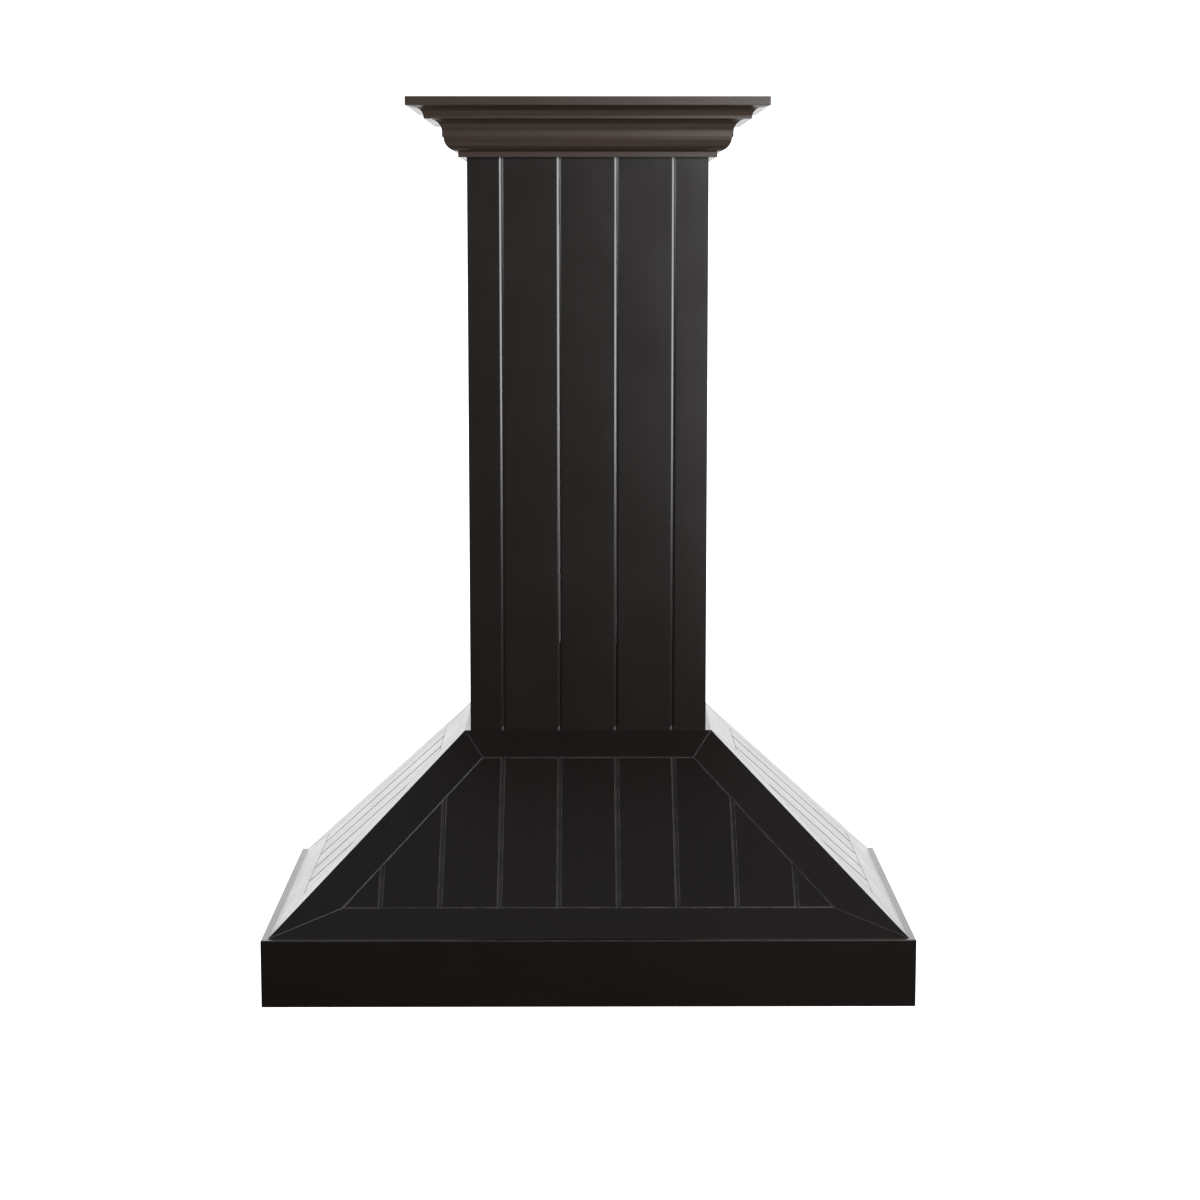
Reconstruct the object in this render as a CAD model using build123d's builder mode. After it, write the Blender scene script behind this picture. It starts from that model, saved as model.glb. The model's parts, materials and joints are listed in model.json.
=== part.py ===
from build123d import *
import os
from math import ceil, floor, hypot

# A wall-mount range hood: a dark wooden canopy, chimney and crown around a steel
# insert with baffle filters, a blower, a duct collar, lamps and push buttons.
# Millimetres. The wall is the plane y = 0, the room is towards -Y, +Z is up and
# +X is to the right seen from the room. The origin is on the wall, midway
# between the two hanging screws.

os.makedirs("parts", exist_ok=True)

# Wooden shell
HOOD_WIDTH = 914.4
HOOD_DEPTH = 558.8
HANG_HEIGHT = 216.0  # hanging screws above the bottom edge
APRON_HEIGHT = 96.0
APRON_BOARD = 19.0
APRON_LEDGE = 9.0  # step from the apron back to the foot of the slopes
CANOPY_HEIGHT = 240.0
CANOPY_BOARD = 19.0
FRAME_WIDTH = 53.0  # rails and stiles of the sloping panels
CHIMNEY_WIDTH = 352.0
CHIMNEY_DEPTH = 246.0
CHIMNEY_HEIGHT = 845.0  # from the canopy to the foot of the crown
CHIMNEY_BOARD = 18.0
CHIMNEY_LEDGE = 8.0  # step from the head of the slopes back to the chimney
BOARD_PITCH = 84.0
BOARD_BEVEL = 3.2  # half the width of the V between two boards
BEVEL_SLOPE = 0.6  # depth of a V for each mm of its half width
JOINT_BEVEL = 0.8  # half the width of the fine line at a frame joint
JOINT_GAP = 0.2  # hairline behind each joint
CUT_PAST = 5.0  # how far a cut runs past the wood
EDGE_EASE = 1.0
POST = 22.0  # square posts inside the chimney
RAIL_HEIGHT = 70.0
RAIL_BOARD = 19.0
STUD_SPACING = 406.4
HANG_HOLE = 4.0  # radius
CHIMNEY_SCREW_SPACING = 180.0
CHIMNEY_HOLE = 2.5  # radius
CHIMNEY_RAIL_RISE = 60.0  # lower rail above the canopy, upper rail below the crown

# Crown moulding, from its lip against the chimney up to its fascia
CROWN_LIP = 12.0
CROWN_LIP_HEIGHT = 8.0
OVOLO = 20.0
CROWN_QUIRK = 2.0
CROWN_BEAD = 7.0
LOWER_COVE = 18.0
CROWN_STEP = 7.0
STEP_HEIGHT = 2.5
UPPER_COVE = 13.0
SOFFIT = 12.0
SOFFIT_RISE = 2.5
FASCIA_HEIGHT = 12.5
CROWN_BACK = 22.0  # height of the crown's flat against the chimney
CROWN_TOP = 20.0  # width of the crown's flat top
CROWN_BLOCK = 12.0

# Steel insert
SHEET = 1.2
LINER_RECESS = 26.0
LINER_GAP = 1.5
FRONT_STRIP = 120.0
SIDE_STRIP = 62.0
BACK_STRIP = 75.8
CENTRE_BAR = 30.0
LIP = 12.0
CLEAT = 20.0
PLENUM_MARGIN = 20.0
PLENUM_REAR = 11.0  # collar to the plenum's back face, which leaves room for the hanging screws
PLENUM_CLEARANCE = 4.0  # top plate to the wood around it
PLATE_DROP = 15.0  # top plate below the head of the canopy
PLATE_SHEET = 2.0
PLATE_MARGIN = 4.0

# Filters
FILTER_THICK = 14.0
FILTER_GAP = 2.0
FILTER_SHEET = 1.0
FILTER_BAR = 14.0
BAFFLE_PITCH = 28.0  # nearly: whole channels fill the window
BAFFLE_WIDTH = 20.0
BAFFLE_COVER = 18.0  # width of the upper channels
BAFFLE_SHEET = 1.0
BAFFLE_OVERLAP = 1.5  # how far the flanges reach past mid height
HINGE_ROOM = 14.0
HINGE_ROD = 3.0  # radius
HINGE_FIT = 0.08
HINGE_WALL = 2.5
HOOK_SIDES = 8
HOOK_WIDTH = 16.0
HOOK_INSET = 70.0
BRACKET_WIDTH = 8.0
CATCH_WIDTH = 30.0
CATCH_SHEET = 0.6
CATCH_CLEARANCE = 0.3
HANDLE_STRAP = 10.0
HANDLE_SHEET = 2.0
HANDLE_SPAN = 84.0
HANDLE_DROP = 14.0
HANDLE_FOOT = 12.0  # each end that lies against the filter

# Lamps and push buttons
LAMP_X = 270.0
LAMP_LENGTH = 120.0  # lens
LAMP_WIDTH = 40.0
LAMP_WINDOW = 2.5  # ledge under the edge of the lens
LAMP_RIM = 7.0  # bezel past its lens
LAMP_BEZEL = 4.0
LAMP_LEDGE = 1.6
LENS_THICK = 2.2
LAMP_EDGE = 1.0
LAMP_WALL = 1.2  # module past the lens
CAN_HEIGHT = 28.0
LAMP_FIT = 0.2
BUTTON_WIDTH = 24.0
BUTTON_DEPTH = 12.0
BUTTON_FIT = 0.4
BUTTON_PITCH = 34.0
BUTTON_PROUD = 3.0
BUTTON_EDGE = 1.0
BUTTON_TRAVEL = 2.0
BUTTON_FLANGE = 1.6
BUTTON_FLANGE_SHEET = 1.5
BUTTON_STEM = 5.0
BUTTON_STEM_RISE = 4.0
BUTTON_SEAT = 0.2
SLOT_MARGIN = 3.7  # slot in the steel past the button flanges
BEZEL_MARGIN = 5.5  # bezel past that slot
BEZEL_THICK = 2.0
BEZEL_EDGE = 0.7
HOUSING_WALL = 2.0
SWITCH_BODY = 9.0
HOUSING_HEIGHT = 24.0

# Blower, collar and damper
COLLAR = 75.0  # outer radius of the duct collar
COLLAR_WALL = 1.0
COLLAR_HEIGHT = 60.0
COLLAR_SPACE = 15.0  # collar to the chimney's front boards
DAMPER_RISE = 26.0
DAMPER_ROD = 2.0  # radius
DAMPER_FIT = 0.08
SEAT_SIDES = 8  # the flaps' rods run on the flats of these punched holes
DAMPER_SHEET = 1.0
DAMPER_GAP = 1.5
DAMPER_SPLIT = 3.5  # each pivot from the collar's centre
DAMPER_STOP = 4.0  # width of the ledge under each flap
STOP_DEPTH = 12.0  # each ledge from front to back
STOP_SHEET = 2.0
STOP_CLEARANCE = 0.3
WHEEL = 68.0  # outer radius
BLADE_CHORD = 14.0
BLADE_SHEET = 1.2
BLADE_BEND = 3.2
BLADE_INSET = 0.6  # blades inside the edge of the ring
BLADE_COUNT = 24
WHEEL_WIDTH = 114.0
WHEEL_DISC = 4.0
WHEEL_RING = 2.0
SHAFT = 4.0  # radius
SHAFT_FIT = 0.06
SHAFT_IN_MOTOR = 26.0
SHAFT_ROOM = 4.0  # shaft's end to the end of its bore
SHAFT_PROUD = 8.0  # past the wheel's disc
SHAFT_HOLE = 6.0  # radius of the hole in the side plate
MOTOR = 40.0  # radius
MOTOR_LENGTH = 84.0
SCROLL_GAP = 8.0  # wheel to scroll at the tongue
SCROLL_STEP = 10.0  # growth of the scroll for each quarter turn
SCROLL_SIDE = 8.0  # wheel to side plate
TONGUE = 16.0
OUTLET_RISE = 120.0
INLET = 57.0  # radius
TAB = 14.0

# Wiring box and gland
BOX_WIDTH = 54.0
BOX_DEPTH = 80.0
BOX_HEIGHT = 42.0
BOX_WALL = 1.5
BOX_SPACE = 17.0  # collar to box
GLAND_BORE = 5.0  # radius
GLAND_MARGIN = 1.0  # hole in the lid past the bore
GLAND_NUT = 13.0  # radius of the hexagon's corners
GLAND_LENGTH = 12.0

# Levels and faces that follow from the sizes above
Z_BOTTOM = -HANG_HEIGHT
Z_APRON = Z_BOTTOM + APRON_HEIGHT
Z_CANOPY = Z_APRON + CANOPY_HEIGHT
Z_CROWN = Z_CANOPY + CHIMNEY_HEIGHT
LOWER_CROWN = CROWN_LIP_HEIGHT + OVOLO + CROWN_BEAD + LOWER_COVE
UPPER_CROWN = STEP_HEIGHT + UPPER_COVE + SOFFIT_RISE + FASCIA_HEIGHT
CROWN_HEIGHT = LOWER_CROWN + UPPER_CROWN
Z_TOP = Z_CROWN + CROWN_HEIGHT
Z_LINER = Z_BOTTOM + LINER_RECESS
LINER_TOP = Z_LINER + SHEET
HALF_WIDTH = HOOD_WIDTH / 2
HALF_CHIMNEY = CHIMNEY_WIDTH / 2
INNER_HALF = HALF_WIDTH - APRON_BOARD
INNER_FRONT = HOOD_DEPTH - APRON_BOARD
LINER_HALF = INNER_HALF - LINER_GAP
LINER_FRONT = INNER_FRONT - LINER_GAP
LINER_BACK = APRON_BOARD + LINER_GAP
OPENING_HALF = LINER_HALF - SIDE_STRIP
OPENING_FRONT = LINER_FRONT - FRONT_STRIP
FILTER_FRONT = OPENING_FRONT - FILTER_GAP
OPENING_BACK = LINER_BACK + BACK_STRIP
FILTER_BACK = OPENING_BACK + HINGE_ROOM
FILTER_DEPTH = FILTER_FRONT - FILTER_BACK
FILTER_WIDTH = OPENING_HALF - CENTRE_BAR / 2 - 2 * FILTER_GAP
FILTER_X = CENTRE_BAR / 2 + FILTER_GAP + FILTER_WIDTH / 2
HINGE_Y = -(FILTER_BACK + OPENING_BACK) / 2
HINGE_Z = Z_LINER + FILTER_THICK / 2
STRIP_Y = -(LINER_FRONT + OPENING_FRONT) / 2
PLATE_BOTTOM = Z_CANOPY - PLATE_DROP
PLATE_TOP = PLATE_BOTTOM + PLATE_SHEET
SCROLL_WIDTH = WHEEL_WIDTH + 2 * SCROLL_SIDE
SCROLL_START = WHEEL + SCROLL_GAP
OUTLET_BACK = SCROLL_START + 3 * SCROLL_STEP
COLLAR_DEPTH = CHIMNEY_DEPTH - CHIMNEY_BOARD - COLLAR_SPACE - COLLAR
PLENUM_BACK = COLLAR_DEPTH - COLLAR - PLENUM_REAR
BLOWER_Y = -COLLAR_DEPTH - (TONGUE + OUTLET_BACK) / 2
BLOWER_Z = PLATE_BOTTOM - OUTLET_RISE
BOARD_INNER_HALF = HALF_CHIMNEY - CHIMNEY_BOARD
BOARD_INNER_FRONT = CHIMNEY_DEPTH - CHIMNEY_BOARD


def save(piece, name):
    piece.part.label = name
    export_step(piece.part, f"parts/{name}.step")


def save_pair(right_piece, name):
    """Write a right-hand piece and its mirror image on the left."""
    save(right_piece, name.replace("SIDE", "right"))
    with BuildPart() as left_piece:
        mirror(right_piece.part, about=Plane.YZ)
    save(left_piece, name.replace("SIDE", "left"))


def save_both(right_piece, name):
    """Write a right-hand piece and its mirror image as two solids of one node."""
    with BuildPart() as both:
        add(right_piece.part)
        mirror(right_piece.part, about=Plane.YZ)
    save(both, name)


def rectangle(x_low, x_high, y_low, y_high, mode=Mode.ADD):
    """A rectangle in the current sketch, by its sides."""
    with Locations(((x_low + x_high) / 2, (y_low + y_high) / 2)):
        Rectangle(x_high - x_low, y_high - y_low, mode=mode)


def groove_places(reach):
    """Grooves to both sides of the middle, a board apart, as far out as reach."""
    count = int(reach / BOARD_PITCH + 0.5)
    return [side * (n + 0.5) * BOARD_PITCH for n in range(count) for side in (-1, 1)]


def joint_outline(bevel, depth):
    """A joint between two boards seen end on: a V in the face and a hairline behind it."""
    half = JOINT_GAP / 2
    foot = BEVEL_SLOPE * (half - bevel)
    right = [(bevel, bevel), (bevel, 0), (half, foot), (half, -depth)]
    left = [(-x, y) for x, y in reversed(right)]
    return right + left


def sloped_block(half_low, half_high, front_low, front_high, back, z_low, z_high, inset):
    """The solid inside the sloping front and sides of a hood, each slope moved in by inset."""
    front, right, left = slopes(half_low, half_high, front_low, front_high, z_low, z_high)
    with BuildPart() as block:
        with BuildSketch(Plane.XY.offset(z_low)):
            rectangle(-half_low, half_low, -front_low, -back)
        extrude(amount=z_high - z_low)
        for face in (front, right, left):
            split(bisect_by=face.offset(-inset), keep=Keep.BOTTOM)
    return block.part


def slopes(half_low, half_high, front_low, front_high, z_low, z_high):
    """The outer planes of a hood's front, right and left slopes, with local Y up the slope."""
    rise = z_high - z_low
    run = half_low - half_high
    front = Plane((0, -front_low, z_low), x_dir=(1, 0, 0), z_dir=(0, -rise, front_low - front_high))
    right = Plane((half_low, 0, z_low), x_dir=(0, 1, 0), z_dir=(rise, 0, run))
    left = Plane((-half_low, 0, z_low), x_dir=(0, -1, 0), z_dir=(-rise, 0, run))
    return front, right, left


def hip(corner, over, under):
    """The plane that halves the corner between two slopes, with its top on the first one."""
    return Plane(corner, z_dir=over.z_dir - under.z_dir)


def inset_corners(corners, width):
    """Corners of a convex outline, listed anticlockwise, moved in by width from each side."""
    sides = []
    for start, end in zip(corners, corners[1:] + corners[:1]):
        along = (Vector(*end) - Vector(*start)).normalized()
        sides.append((Vector(*start) + Vector(-along.Y, along.X) * width, along))
    inner = []
    for (p, d), (q, e) in zip(sides[-1:] + sides[:-1], sides):
        inner.append(p + d * ((q - p).cross(e).Z / d.cross(e).Z))
    return inner


def panel_frame(blank, face, corners):
    """Rails and stiles of one sloping panel, mitred at the corners."""
    inner = inset_corners(corners, FRAME_WIDTH)
    outward = Axis(face.origin, face.z_dir)
    with BuildPart() as frame:
        add(blank)
        with BuildSketch(face):
            Polygon(*inner, align=None)
        extrude(amount=-2 * CANOPY_BOARD, mode=Mode.SUBTRACT)
        chamfer(frame.faces().sort_by(outward)[-1].inner_wires()[0].edges(), JOINT_BEVEL)
        for corner, inside in zip(corners, inner):
            mitre = Vector(*corner) - inside
            start = face.from_local_coords(inside - mitre.normalized() * CUT_PAST)
            along = face.from_local_coords(inside + mitre) - face.from_local_coords(inside)
            cut = Plane(start, x_dir=face.z_dir.cross(along), z_dir=along)
            with BuildSketch(cut):
                Polygon(*joint_outline(JOINT_BEVEL, 2 * CANOPY_BOARD), align=None)
            extrude(amount=HOOD_WIDTH, mode=Mode.SUBTRACT)
    return frame


def panel_boards(blank, face, corners, grooves):
    """Boards that fill one sloping panel, with a V between neighbours."""
    outward = Axis(face.origin, face.z_dir)
    with BuildPart() as boards:
        add(blank)
        with BuildSketch(face):
            Polygon(*inset_corners(corners, FRAME_WIDTH + JOINT_GAP), align=None)
        extrude(amount=-2 * CANOPY_BOARD, mode=Mode.INTERSECT)
        chamfer(boards.faces().sort_by(outward)[-1].edges(), JOINT_BEVEL)
        for groove in grooves:
            start = face.from_local_coords((groove, 0, 0))
            with BuildSketch(Plane(start, x_dir=face.x_dir, z_dir=-face.y_dir)):
                Polygon(*joint_outline(BOARD_BEVEL, 2 * CANOPY_BOARD), align=None)
            extrude(amount=HOOD_WIDTH, both=True, mode=Mode.SUBTRACT)
    return boards


# Apron: three boards mitred at the front corners, and a rail along the wall
with BuildPart() as apron_front:
    with BuildSketch(Plane.XY.offset(Z_BOTTOM)):
        Polygon(
            (-HALF_WIDTH, -HOOD_DEPTH),
            (HALF_WIDTH, -HOOD_DEPTH),
            (INNER_HALF, -INNER_FRONT),
            (-INNER_HALF, -INNER_FRONT),
            align=None,
        )
    extrude(amount=APRON_HEIGHT)
    chamfer(apron_front.edges().filter_by(Axis.X).group_by(Axis.Y)[0], EDGE_EASE)
save(apron_front, "apron_front")

with BuildPart() as apron_right:
    with BuildSketch(Plane.XY.offset(Z_BOTTOM)):
        Polygon(
            (HALF_WIDTH, -HOOD_DEPTH),
            (HALF_WIDTH, 0),
            (INNER_HALF, 0),
            (INNER_HALF, -INNER_FRONT),
            align=None,
        )
    extrude(amount=APRON_HEIGHT)
    chamfer(apron_right.edges().filter_by(Axis.Y).group_by(Axis.X)[-1], EDGE_EASE)
save_pair(apron_right, "apron_SIDE")

with BuildPart() as apron_back_rail:
    with BuildSketch(Plane.XY.offset(Z_BOTTOM)):
        rectangle(-INNER_HALF, INNER_HALF, -APRON_BOARD, 0)
    extrude(amount=APRON_HEIGHT)
save(apron_back_rail, "apron_back_rail")

# Canopy: sloping front and side panels that meet in mitres along the hips
CANOPY_SIZES = (
    HALF_WIDTH - APRON_LEDGE,
    HALF_CHIMNEY + CHIMNEY_LEDGE,
    HOOD_DEPTH - APRON_LEDGE,
    CHIMNEY_DEPTH + CHIMNEY_LEDGE,
)
half_low, half_high, front_low, front_high = CANOPY_SIZES
front_face, right_face, left_face = slopes(*CANOPY_SIZES, Z_APRON, Z_CANOPY)
front_slope = hypot(front_low - front_high, CANOPY_HEIGHT)
side_slope = hypot(half_low - half_high, CANOPY_HEIGHT)
front_corners = [(-half_low, 0), (half_low, 0), (half_high, front_slope), (-half_high, front_slope)]
side_corners = [(-front_low, 0), (0, 0), (0, side_slope), (-front_high, side_slope)]
canopy_inside = sloped_block(*CANOPY_SIZES, 0, Z_APRON, Z_CANOPY, CANOPY_BOARD)
with BuildPart() as canopy_shell:
    add(sloped_block(*CANOPY_SIZES, 0, Z_APRON, Z_CANOPY, 0))
    add(canopy_inside, mode=Mode.SUBTRACT)
right_hip = hip((half_low, -front_low, Z_APRON), front_face, right_face)
left_hip = hip((-half_low, -front_low, Z_APRON), front_face, left_face)
with BuildPart() as front_blank:
    add(canopy_shell.part)
    split(bisect_by=right_hip, keep=Keep.TOP)
    split(bisect_by=left_hip, keep=Keep.TOP)
with BuildPart() as right_blank:
    add(canopy_shell.part)
    split(bisect_by=right_hip, keep=Keep.BOTTOM)

# The grooves carry on the chimney's, whose edge boards are as wide on the sides as in front
CHIMNEY_GROOVES = groove_places(BOARD_INNER_HALF - BOARD_BEVEL)
SIDE_GROOVE = CHIMNEY_DEPTH - HALF_CHIMNEY + max(CHIMNEY_GROOVES)
inner_half = inset_corners(front_corners, FRAME_WIDTH)[1].X
inner_front = -inset_corners(side_corners, FRAME_WIDTH)[0].X
front_grooves = groove_places(inner_half - BOARD_BEVEL)
first_groove = ceil((FRAME_WIDTH + BOARD_BEVEL - SIDE_GROOVE) / BOARD_PITCH)
last_groove = floor((inner_front - BOARD_BEVEL - SIDE_GROOVE) / BOARD_PITCH)
side_grooves = [-(SIDE_GROOVE + n * BOARD_PITCH) for n in range(first_groove, last_groove + 1)]

front_panel = (front_blank.part, front_face, front_corners)
right_panel = (right_blank.part, right_face, side_corners)
save(panel_frame(*front_panel), "canopy_front_frame")
save(panel_boards(*front_panel, front_grooves), "canopy_front_boards")
save_pair(panel_frame(*right_panel), "canopy_SIDE_frame")
save_pair(panel_boards(*right_panel, side_grooves), "canopy_SIDE_boards")

# Hanging rail, cut to fit between the side panels, with one hole for each wall stud
with BuildPart() as hanging_rail:
    add(canopy_inside)
    with BuildSketch(Plane.XY.offset(-RAIL_HEIGHT / 2)):
        rectangle(-HALF_WIDTH, HALF_WIDTH, -RAIL_BOARD, 0)
    extrude(amount=RAIL_HEIGHT, mode=Mode.INTERSECT)
    with BuildSketch(Plane.XZ):
        with Locations((-STUD_SPACING / 2, 0), (STUD_SPACING / 2, 0)):
            Circle(HANG_HOLE)
    extrude(amount=RAIL_BOARD, mode=Mode.SUBTRACT)
save(hanging_rail, "hanging_rail")

# Chimney: rows of boards, mitred at the front corners, on posts and rails
chimney_rise = Z_TOP - Z_CANOPY
with BuildPart() as chimney_front_boards:
    with BuildSketch(Plane.XY.offset(Z_CANOPY)):
        Polygon(
            (-HALF_CHIMNEY, -CHIMNEY_DEPTH),
            (HALF_CHIMNEY, -CHIMNEY_DEPTH),
            (BOARD_INNER_HALF, -BOARD_INNER_FRONT),
            (-BOARD_INNER_HALF, -BOARD_INNER_FRONT),
            align=None,
        )
    extrude(amount=chimney_rise)
    for groove in CHIMNEY_GROOVES:
        corner = (groove, -CHIMNEY_DEPTH, Z_TOP)
        with BuildSketch(Plane(corner, x_dir=(1, 0, 0), z_dir=(0, 0, -1))):
            Polygon(*joint_outline(BOARD_BEVEL, 2 * CHIMNEY_BOARD), align=None)
        extrude(amount=chimney_rise, mode=Mode.SUBTRACT)
save(chimney_front_boards, "chimney_front_boards")

with BuildPart() as chimney_right_boards:
    with BuildSketch(Plane.XY.offset(Z_CANOPY)):
        Polygon(
            (HALF_CHIMNEY, -CHIMNEY_DEPTH),
            (HALF_CHIMNEY, 0),
            (BOARD_INNER_HALF, 0),
            (BOARD_INNER_HALF, -BOARD_INNER_FRONT),
            align=None,
        )
    extrude(amount=chimney_rise)
    for n in range(int(SIDE_GROOVE / BOARD_PITCH) + 1):
        corner = (HALF_CHIMNEY, n * BOARD_PITCH - SIDE_GROOVE, Z_TOP)
        with BuildSketch(Plane(corner, x_dir=(0, 1, 0), z_dir=(0, 0, -1))):
            Polygon(*joint_outline(BOARD_BEVEL, 2 * CHIMNEY_BOARD), align=None)
        extrude(amount=chimney_rise, mode=Mode.SUBTRACT)
save_pair(chimney_right_boards, "chimney_SIDE_boards")

with BuildPart() as chimney_posts:
    with BuildSketch(Plane.XY.offset(Z_CANOPY)):
        for x in (POST / 2 - BOARD_INNER_HALF, BOARD_INNER_HALF - POST / 2):
            with Locations((x, POST / 2 - BOARD_INNER_FRONT), (x, -POST / 2)):
                Rectangle(POST, POST)
    extrude(amount=chimney_rise - CROWN_BLOCK)
save(chimney_posts, "chimney_posts")

RAIL_CENTRES = (Z_CANOPY + CHIMNEY_RAIL_RISE, Z_CROWN - CHIMNEY_RAIL_RISE)
rail_half = BOARD_INNER_HALF - POST
with BuildPart() as chimney_rails:
    with BuildSketch(Plane.XZ):
        for z in RAIL_CENTRES:
            rectangle(-rail_half, rail_half, z - RAIL_HEIGHT / 2, z + RAIL_HEIGHT / 2)
            with Locations((-CHIMNEY_SCREW_SPACING / 2, z), (CHIMNEY_SCREW_SPACING / 2, z)):
                Circle(CHIMNEY_HOLE, mode=Mode.SUBTRACT)
    extrude(amount=RAIL_BOARD)
save(chimney_rails, "chimney_rails")


# Crown: a sprung moulding of an ovolo, two coves and a fascia, mitred round three sides.
# Its outline has the reach from the chimney as X and the height above its foot as Y.
ovolo_top = CROWN_LIP_HEIGHT + OVOLO
bead = CROWN_LIP + OVOLO + CROWN_QUIRK
bead_top = ovolo_top + CROWN_BEAD
cove = bead + LOWER_COVE
cove_top = bead_top + LOWER_COVE
step = cove + CROWN_STEP
step_top = cove_top + STEP_HEIGHT
soffit = step + UPPER_COVE
soffit_top = step_top + UPPER_COVE
fascia = soffit + SOFFIT
with BuildSketch() as crown_outline:
    with BuildLine():
        Polyline((0, CROWN_BACK), (0, 0), (CROWN_LIP, 0), (CROWN_LIP, CROWN_LIP_HEIGHT))
        CenterArc((CROWN_LIP, ovolo_top), OVOLO, -90, 90)
        Polyline((CROWN_LIP + OVOLO, ovolo_top), (bead, ovolo_top), (bead, bead_top))
        CenterArc((cove, bead_top), LOWER_COVE, 90, 90)
        Polyline((cove, cove_top), (step, cove_top), (step, step_top))
        CenterArc((soffit, step_top), UPPER_COVE, 90, 90)
        Polyline(
            (soffit, soffit_top),
            (fascia, soffit_top + SOFFIT_RISE),
            (fascia, CROWN_HEIGHT),
            (fascia - CROWN_TOP, CROWN_HEIGHT),
            (0, CROWN_BACK),
        )
    make_face()

# Nailing block between the chimney and the back of the moulding
block_foot = (fascia - CROWN_TOP) * (1 - CROWN_BLOCK / (CROWN_HEIGHT - CROWN_BACK))
with BuildSketch() as block_outline:
    Polygon(
        (0, CROWN_HEIGHT),
        (0, CROWN_HEIGHT - CROWN_BLOCK),
        (block_foot, CROWN_HEIGHT - CROWN_BLOCK),
        (fascia - CROWN_TOP, CROWN_HEIGHT),
        align=None,
    )


def crown_run_front(outline, gap=0.0):
    """A run of moulding across the chimney, mitred at both ends and short of them by gap."""
    front = Plane((0, -CHIMNEY_DEPTH, Z_CROWN), x_dir=(0, -1, 0), z_dir=(-1, 0, 0))
    with BuildPart() as run:
        with BuildSketch(front):
            add(outline.sketch)
        extrude(amount=HALF_CHIMNEY + fascia, both=True)
        for side in (-1, 1):
            corner = (side * HALF_CHIMNEY, -CHIMNEY_DEPTH, Z_CROWN)
            split(bisect_by=Plane(corner, z_dir=(side, 1, 0)).offset(-gap), keep=Keep.BOTTOM)
    return run


def crown_run_right(outline):
    """A run of moulding along the chimney's right side, mitred at its front end."""
    wall = Plane((HALF_CHIMNEY, 0, Z_CROWN), x_dir=(1, 0, 0), z_dir=(0, -1, 0))
    with BuildPart() as run:
        with BuildSketch(wall):
            add(outline.sketch)
        extrude(amount=CHIMNEY_DEPTH + fascia)
        corner = (HALF_CHIMNEY, -CHIMNEY_DEPTH, Z_CROWN)
        split(bisect_by=Plane(corner, z_dir=(1, 1, 0)), keep=Keep.TOP)
    return run


save(crown_run_front(crown_outline), "crown_front")
save_pair(crown_run_right(crown_outline), "crown_SIDE")
side_block = crown_run_right(block_outline)
with BuildPart() as crown_blocks:
    add(crown_run_front(block_outline, JOINT_GAP).part)
    add(side_block.part)
    mirror(side_block.part, about=Plane.YZ)
save(crown_blocks, "crown_blocks")

# Cleats inside the apron, which carry the steel face
with BuildPart() as liner_cleats:
    with BuildSketch(Plane.XY.offset(LINER_TOP)):
        rectangle(-INNER_HALF, INNER_HALF, -INNER_FRONT, CLEAT - INNER_FRONT)
        rectangle(-INNER_HALF, INNER_HALF, -APRON_BOARD - CLEAT, -APRON_BOARD)
        low_end = CLEAT + JOINT_GAP - INNER_FRONT
        high_end = -APRON_BOARD - CLEAT - JOINT_GAP
        rectangle(INNER_HALF - CLEAT, INNER_HALF, low_end, high_end)
        rectangle(-INNER_HALF, CLEAT - INNER_HALF, low_end, high_end)
    extrude(amount=CLEAT)
save(liner_cleats, "liner_cleats")

# Steel face under the hood: five strips, each with lips turned up beside the filters
BUTTON_NAMES = ("light", "low", "medium", "high", "stop")
middle_button = (len(BUTTON_NAMES) - 1) / 2
BUTTON_SPOTS = [((n - middle_button) * BUTTON_PITCH, STRIP_Y) for n in range(len(BUTTON_NAMES))]
FLANGE_WIDTH = BUTTON_WIDTH + 2 * BUTTON_FLANGE
FLANGE_DEPTH = BUTTON_DEPTH + 2 * BUTTON_FLANGE
SLOT_WIDTH = FLANGE_DEPTH + 2 * SLOT_MARGIN
SLOT_LENGTH = BUTTON_SPOTS[-1][0] - BUTTON_SPOTS[0][0] + FLANGE_WIDTH + 2 * SLOT_MARGIN
with BuildPart() as liner_front_strip:
    with BuildSketch(Plane.XY.offset(Z_LINER)):
        rectangle(-LINER_HALF, LINER_HALF, -LINER_FRONT, -OPENING_FRONT)
        with Locations((-LAMP_X, STRIP_Y), (LAMP_X, STRIP_Y)):
            Rectangle(LAMP_LENGTH, LAMP_WIDTH, mode=Mode.SUBTRACT)
        with Locations((0, STRIP_Y)):
            Rectangle(SLOT_LENGTH, SLOT_WIDTH, mode=Mode.SUBTRACT)
    extrude(amount=SHEET)
    with BuildSketch(Plane.XY.offset(LINER_TOP)):
        rectangle(-OPENING_HALF, OPENING_HALF, -OPENING_FRONT - SHEET, -OPENING_FRONT)
    extrude(amount=LIP)
save(liner_front_strip, "liner_front_strip")

with BuildPart() as liner_back_strip:
    with BuildSketch(Plane.XY.offset(Z_LINER)):
        rectangle(-LINER_HALF, LINER_HALF, -OPENING_BACK, -LINER_BACK)
    extrude(amount=SHEET)
    with BuildSketch(Plane.XY.offset(LINER_TOP)):
        rectangle(-OPENING_HALF, OPENING_HALF, -OPENING_BACK, SHEET - OPENING_BACK)
    extrude(amount=LIP)
save(liner_back_strip, "liner_back_strip")

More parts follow.
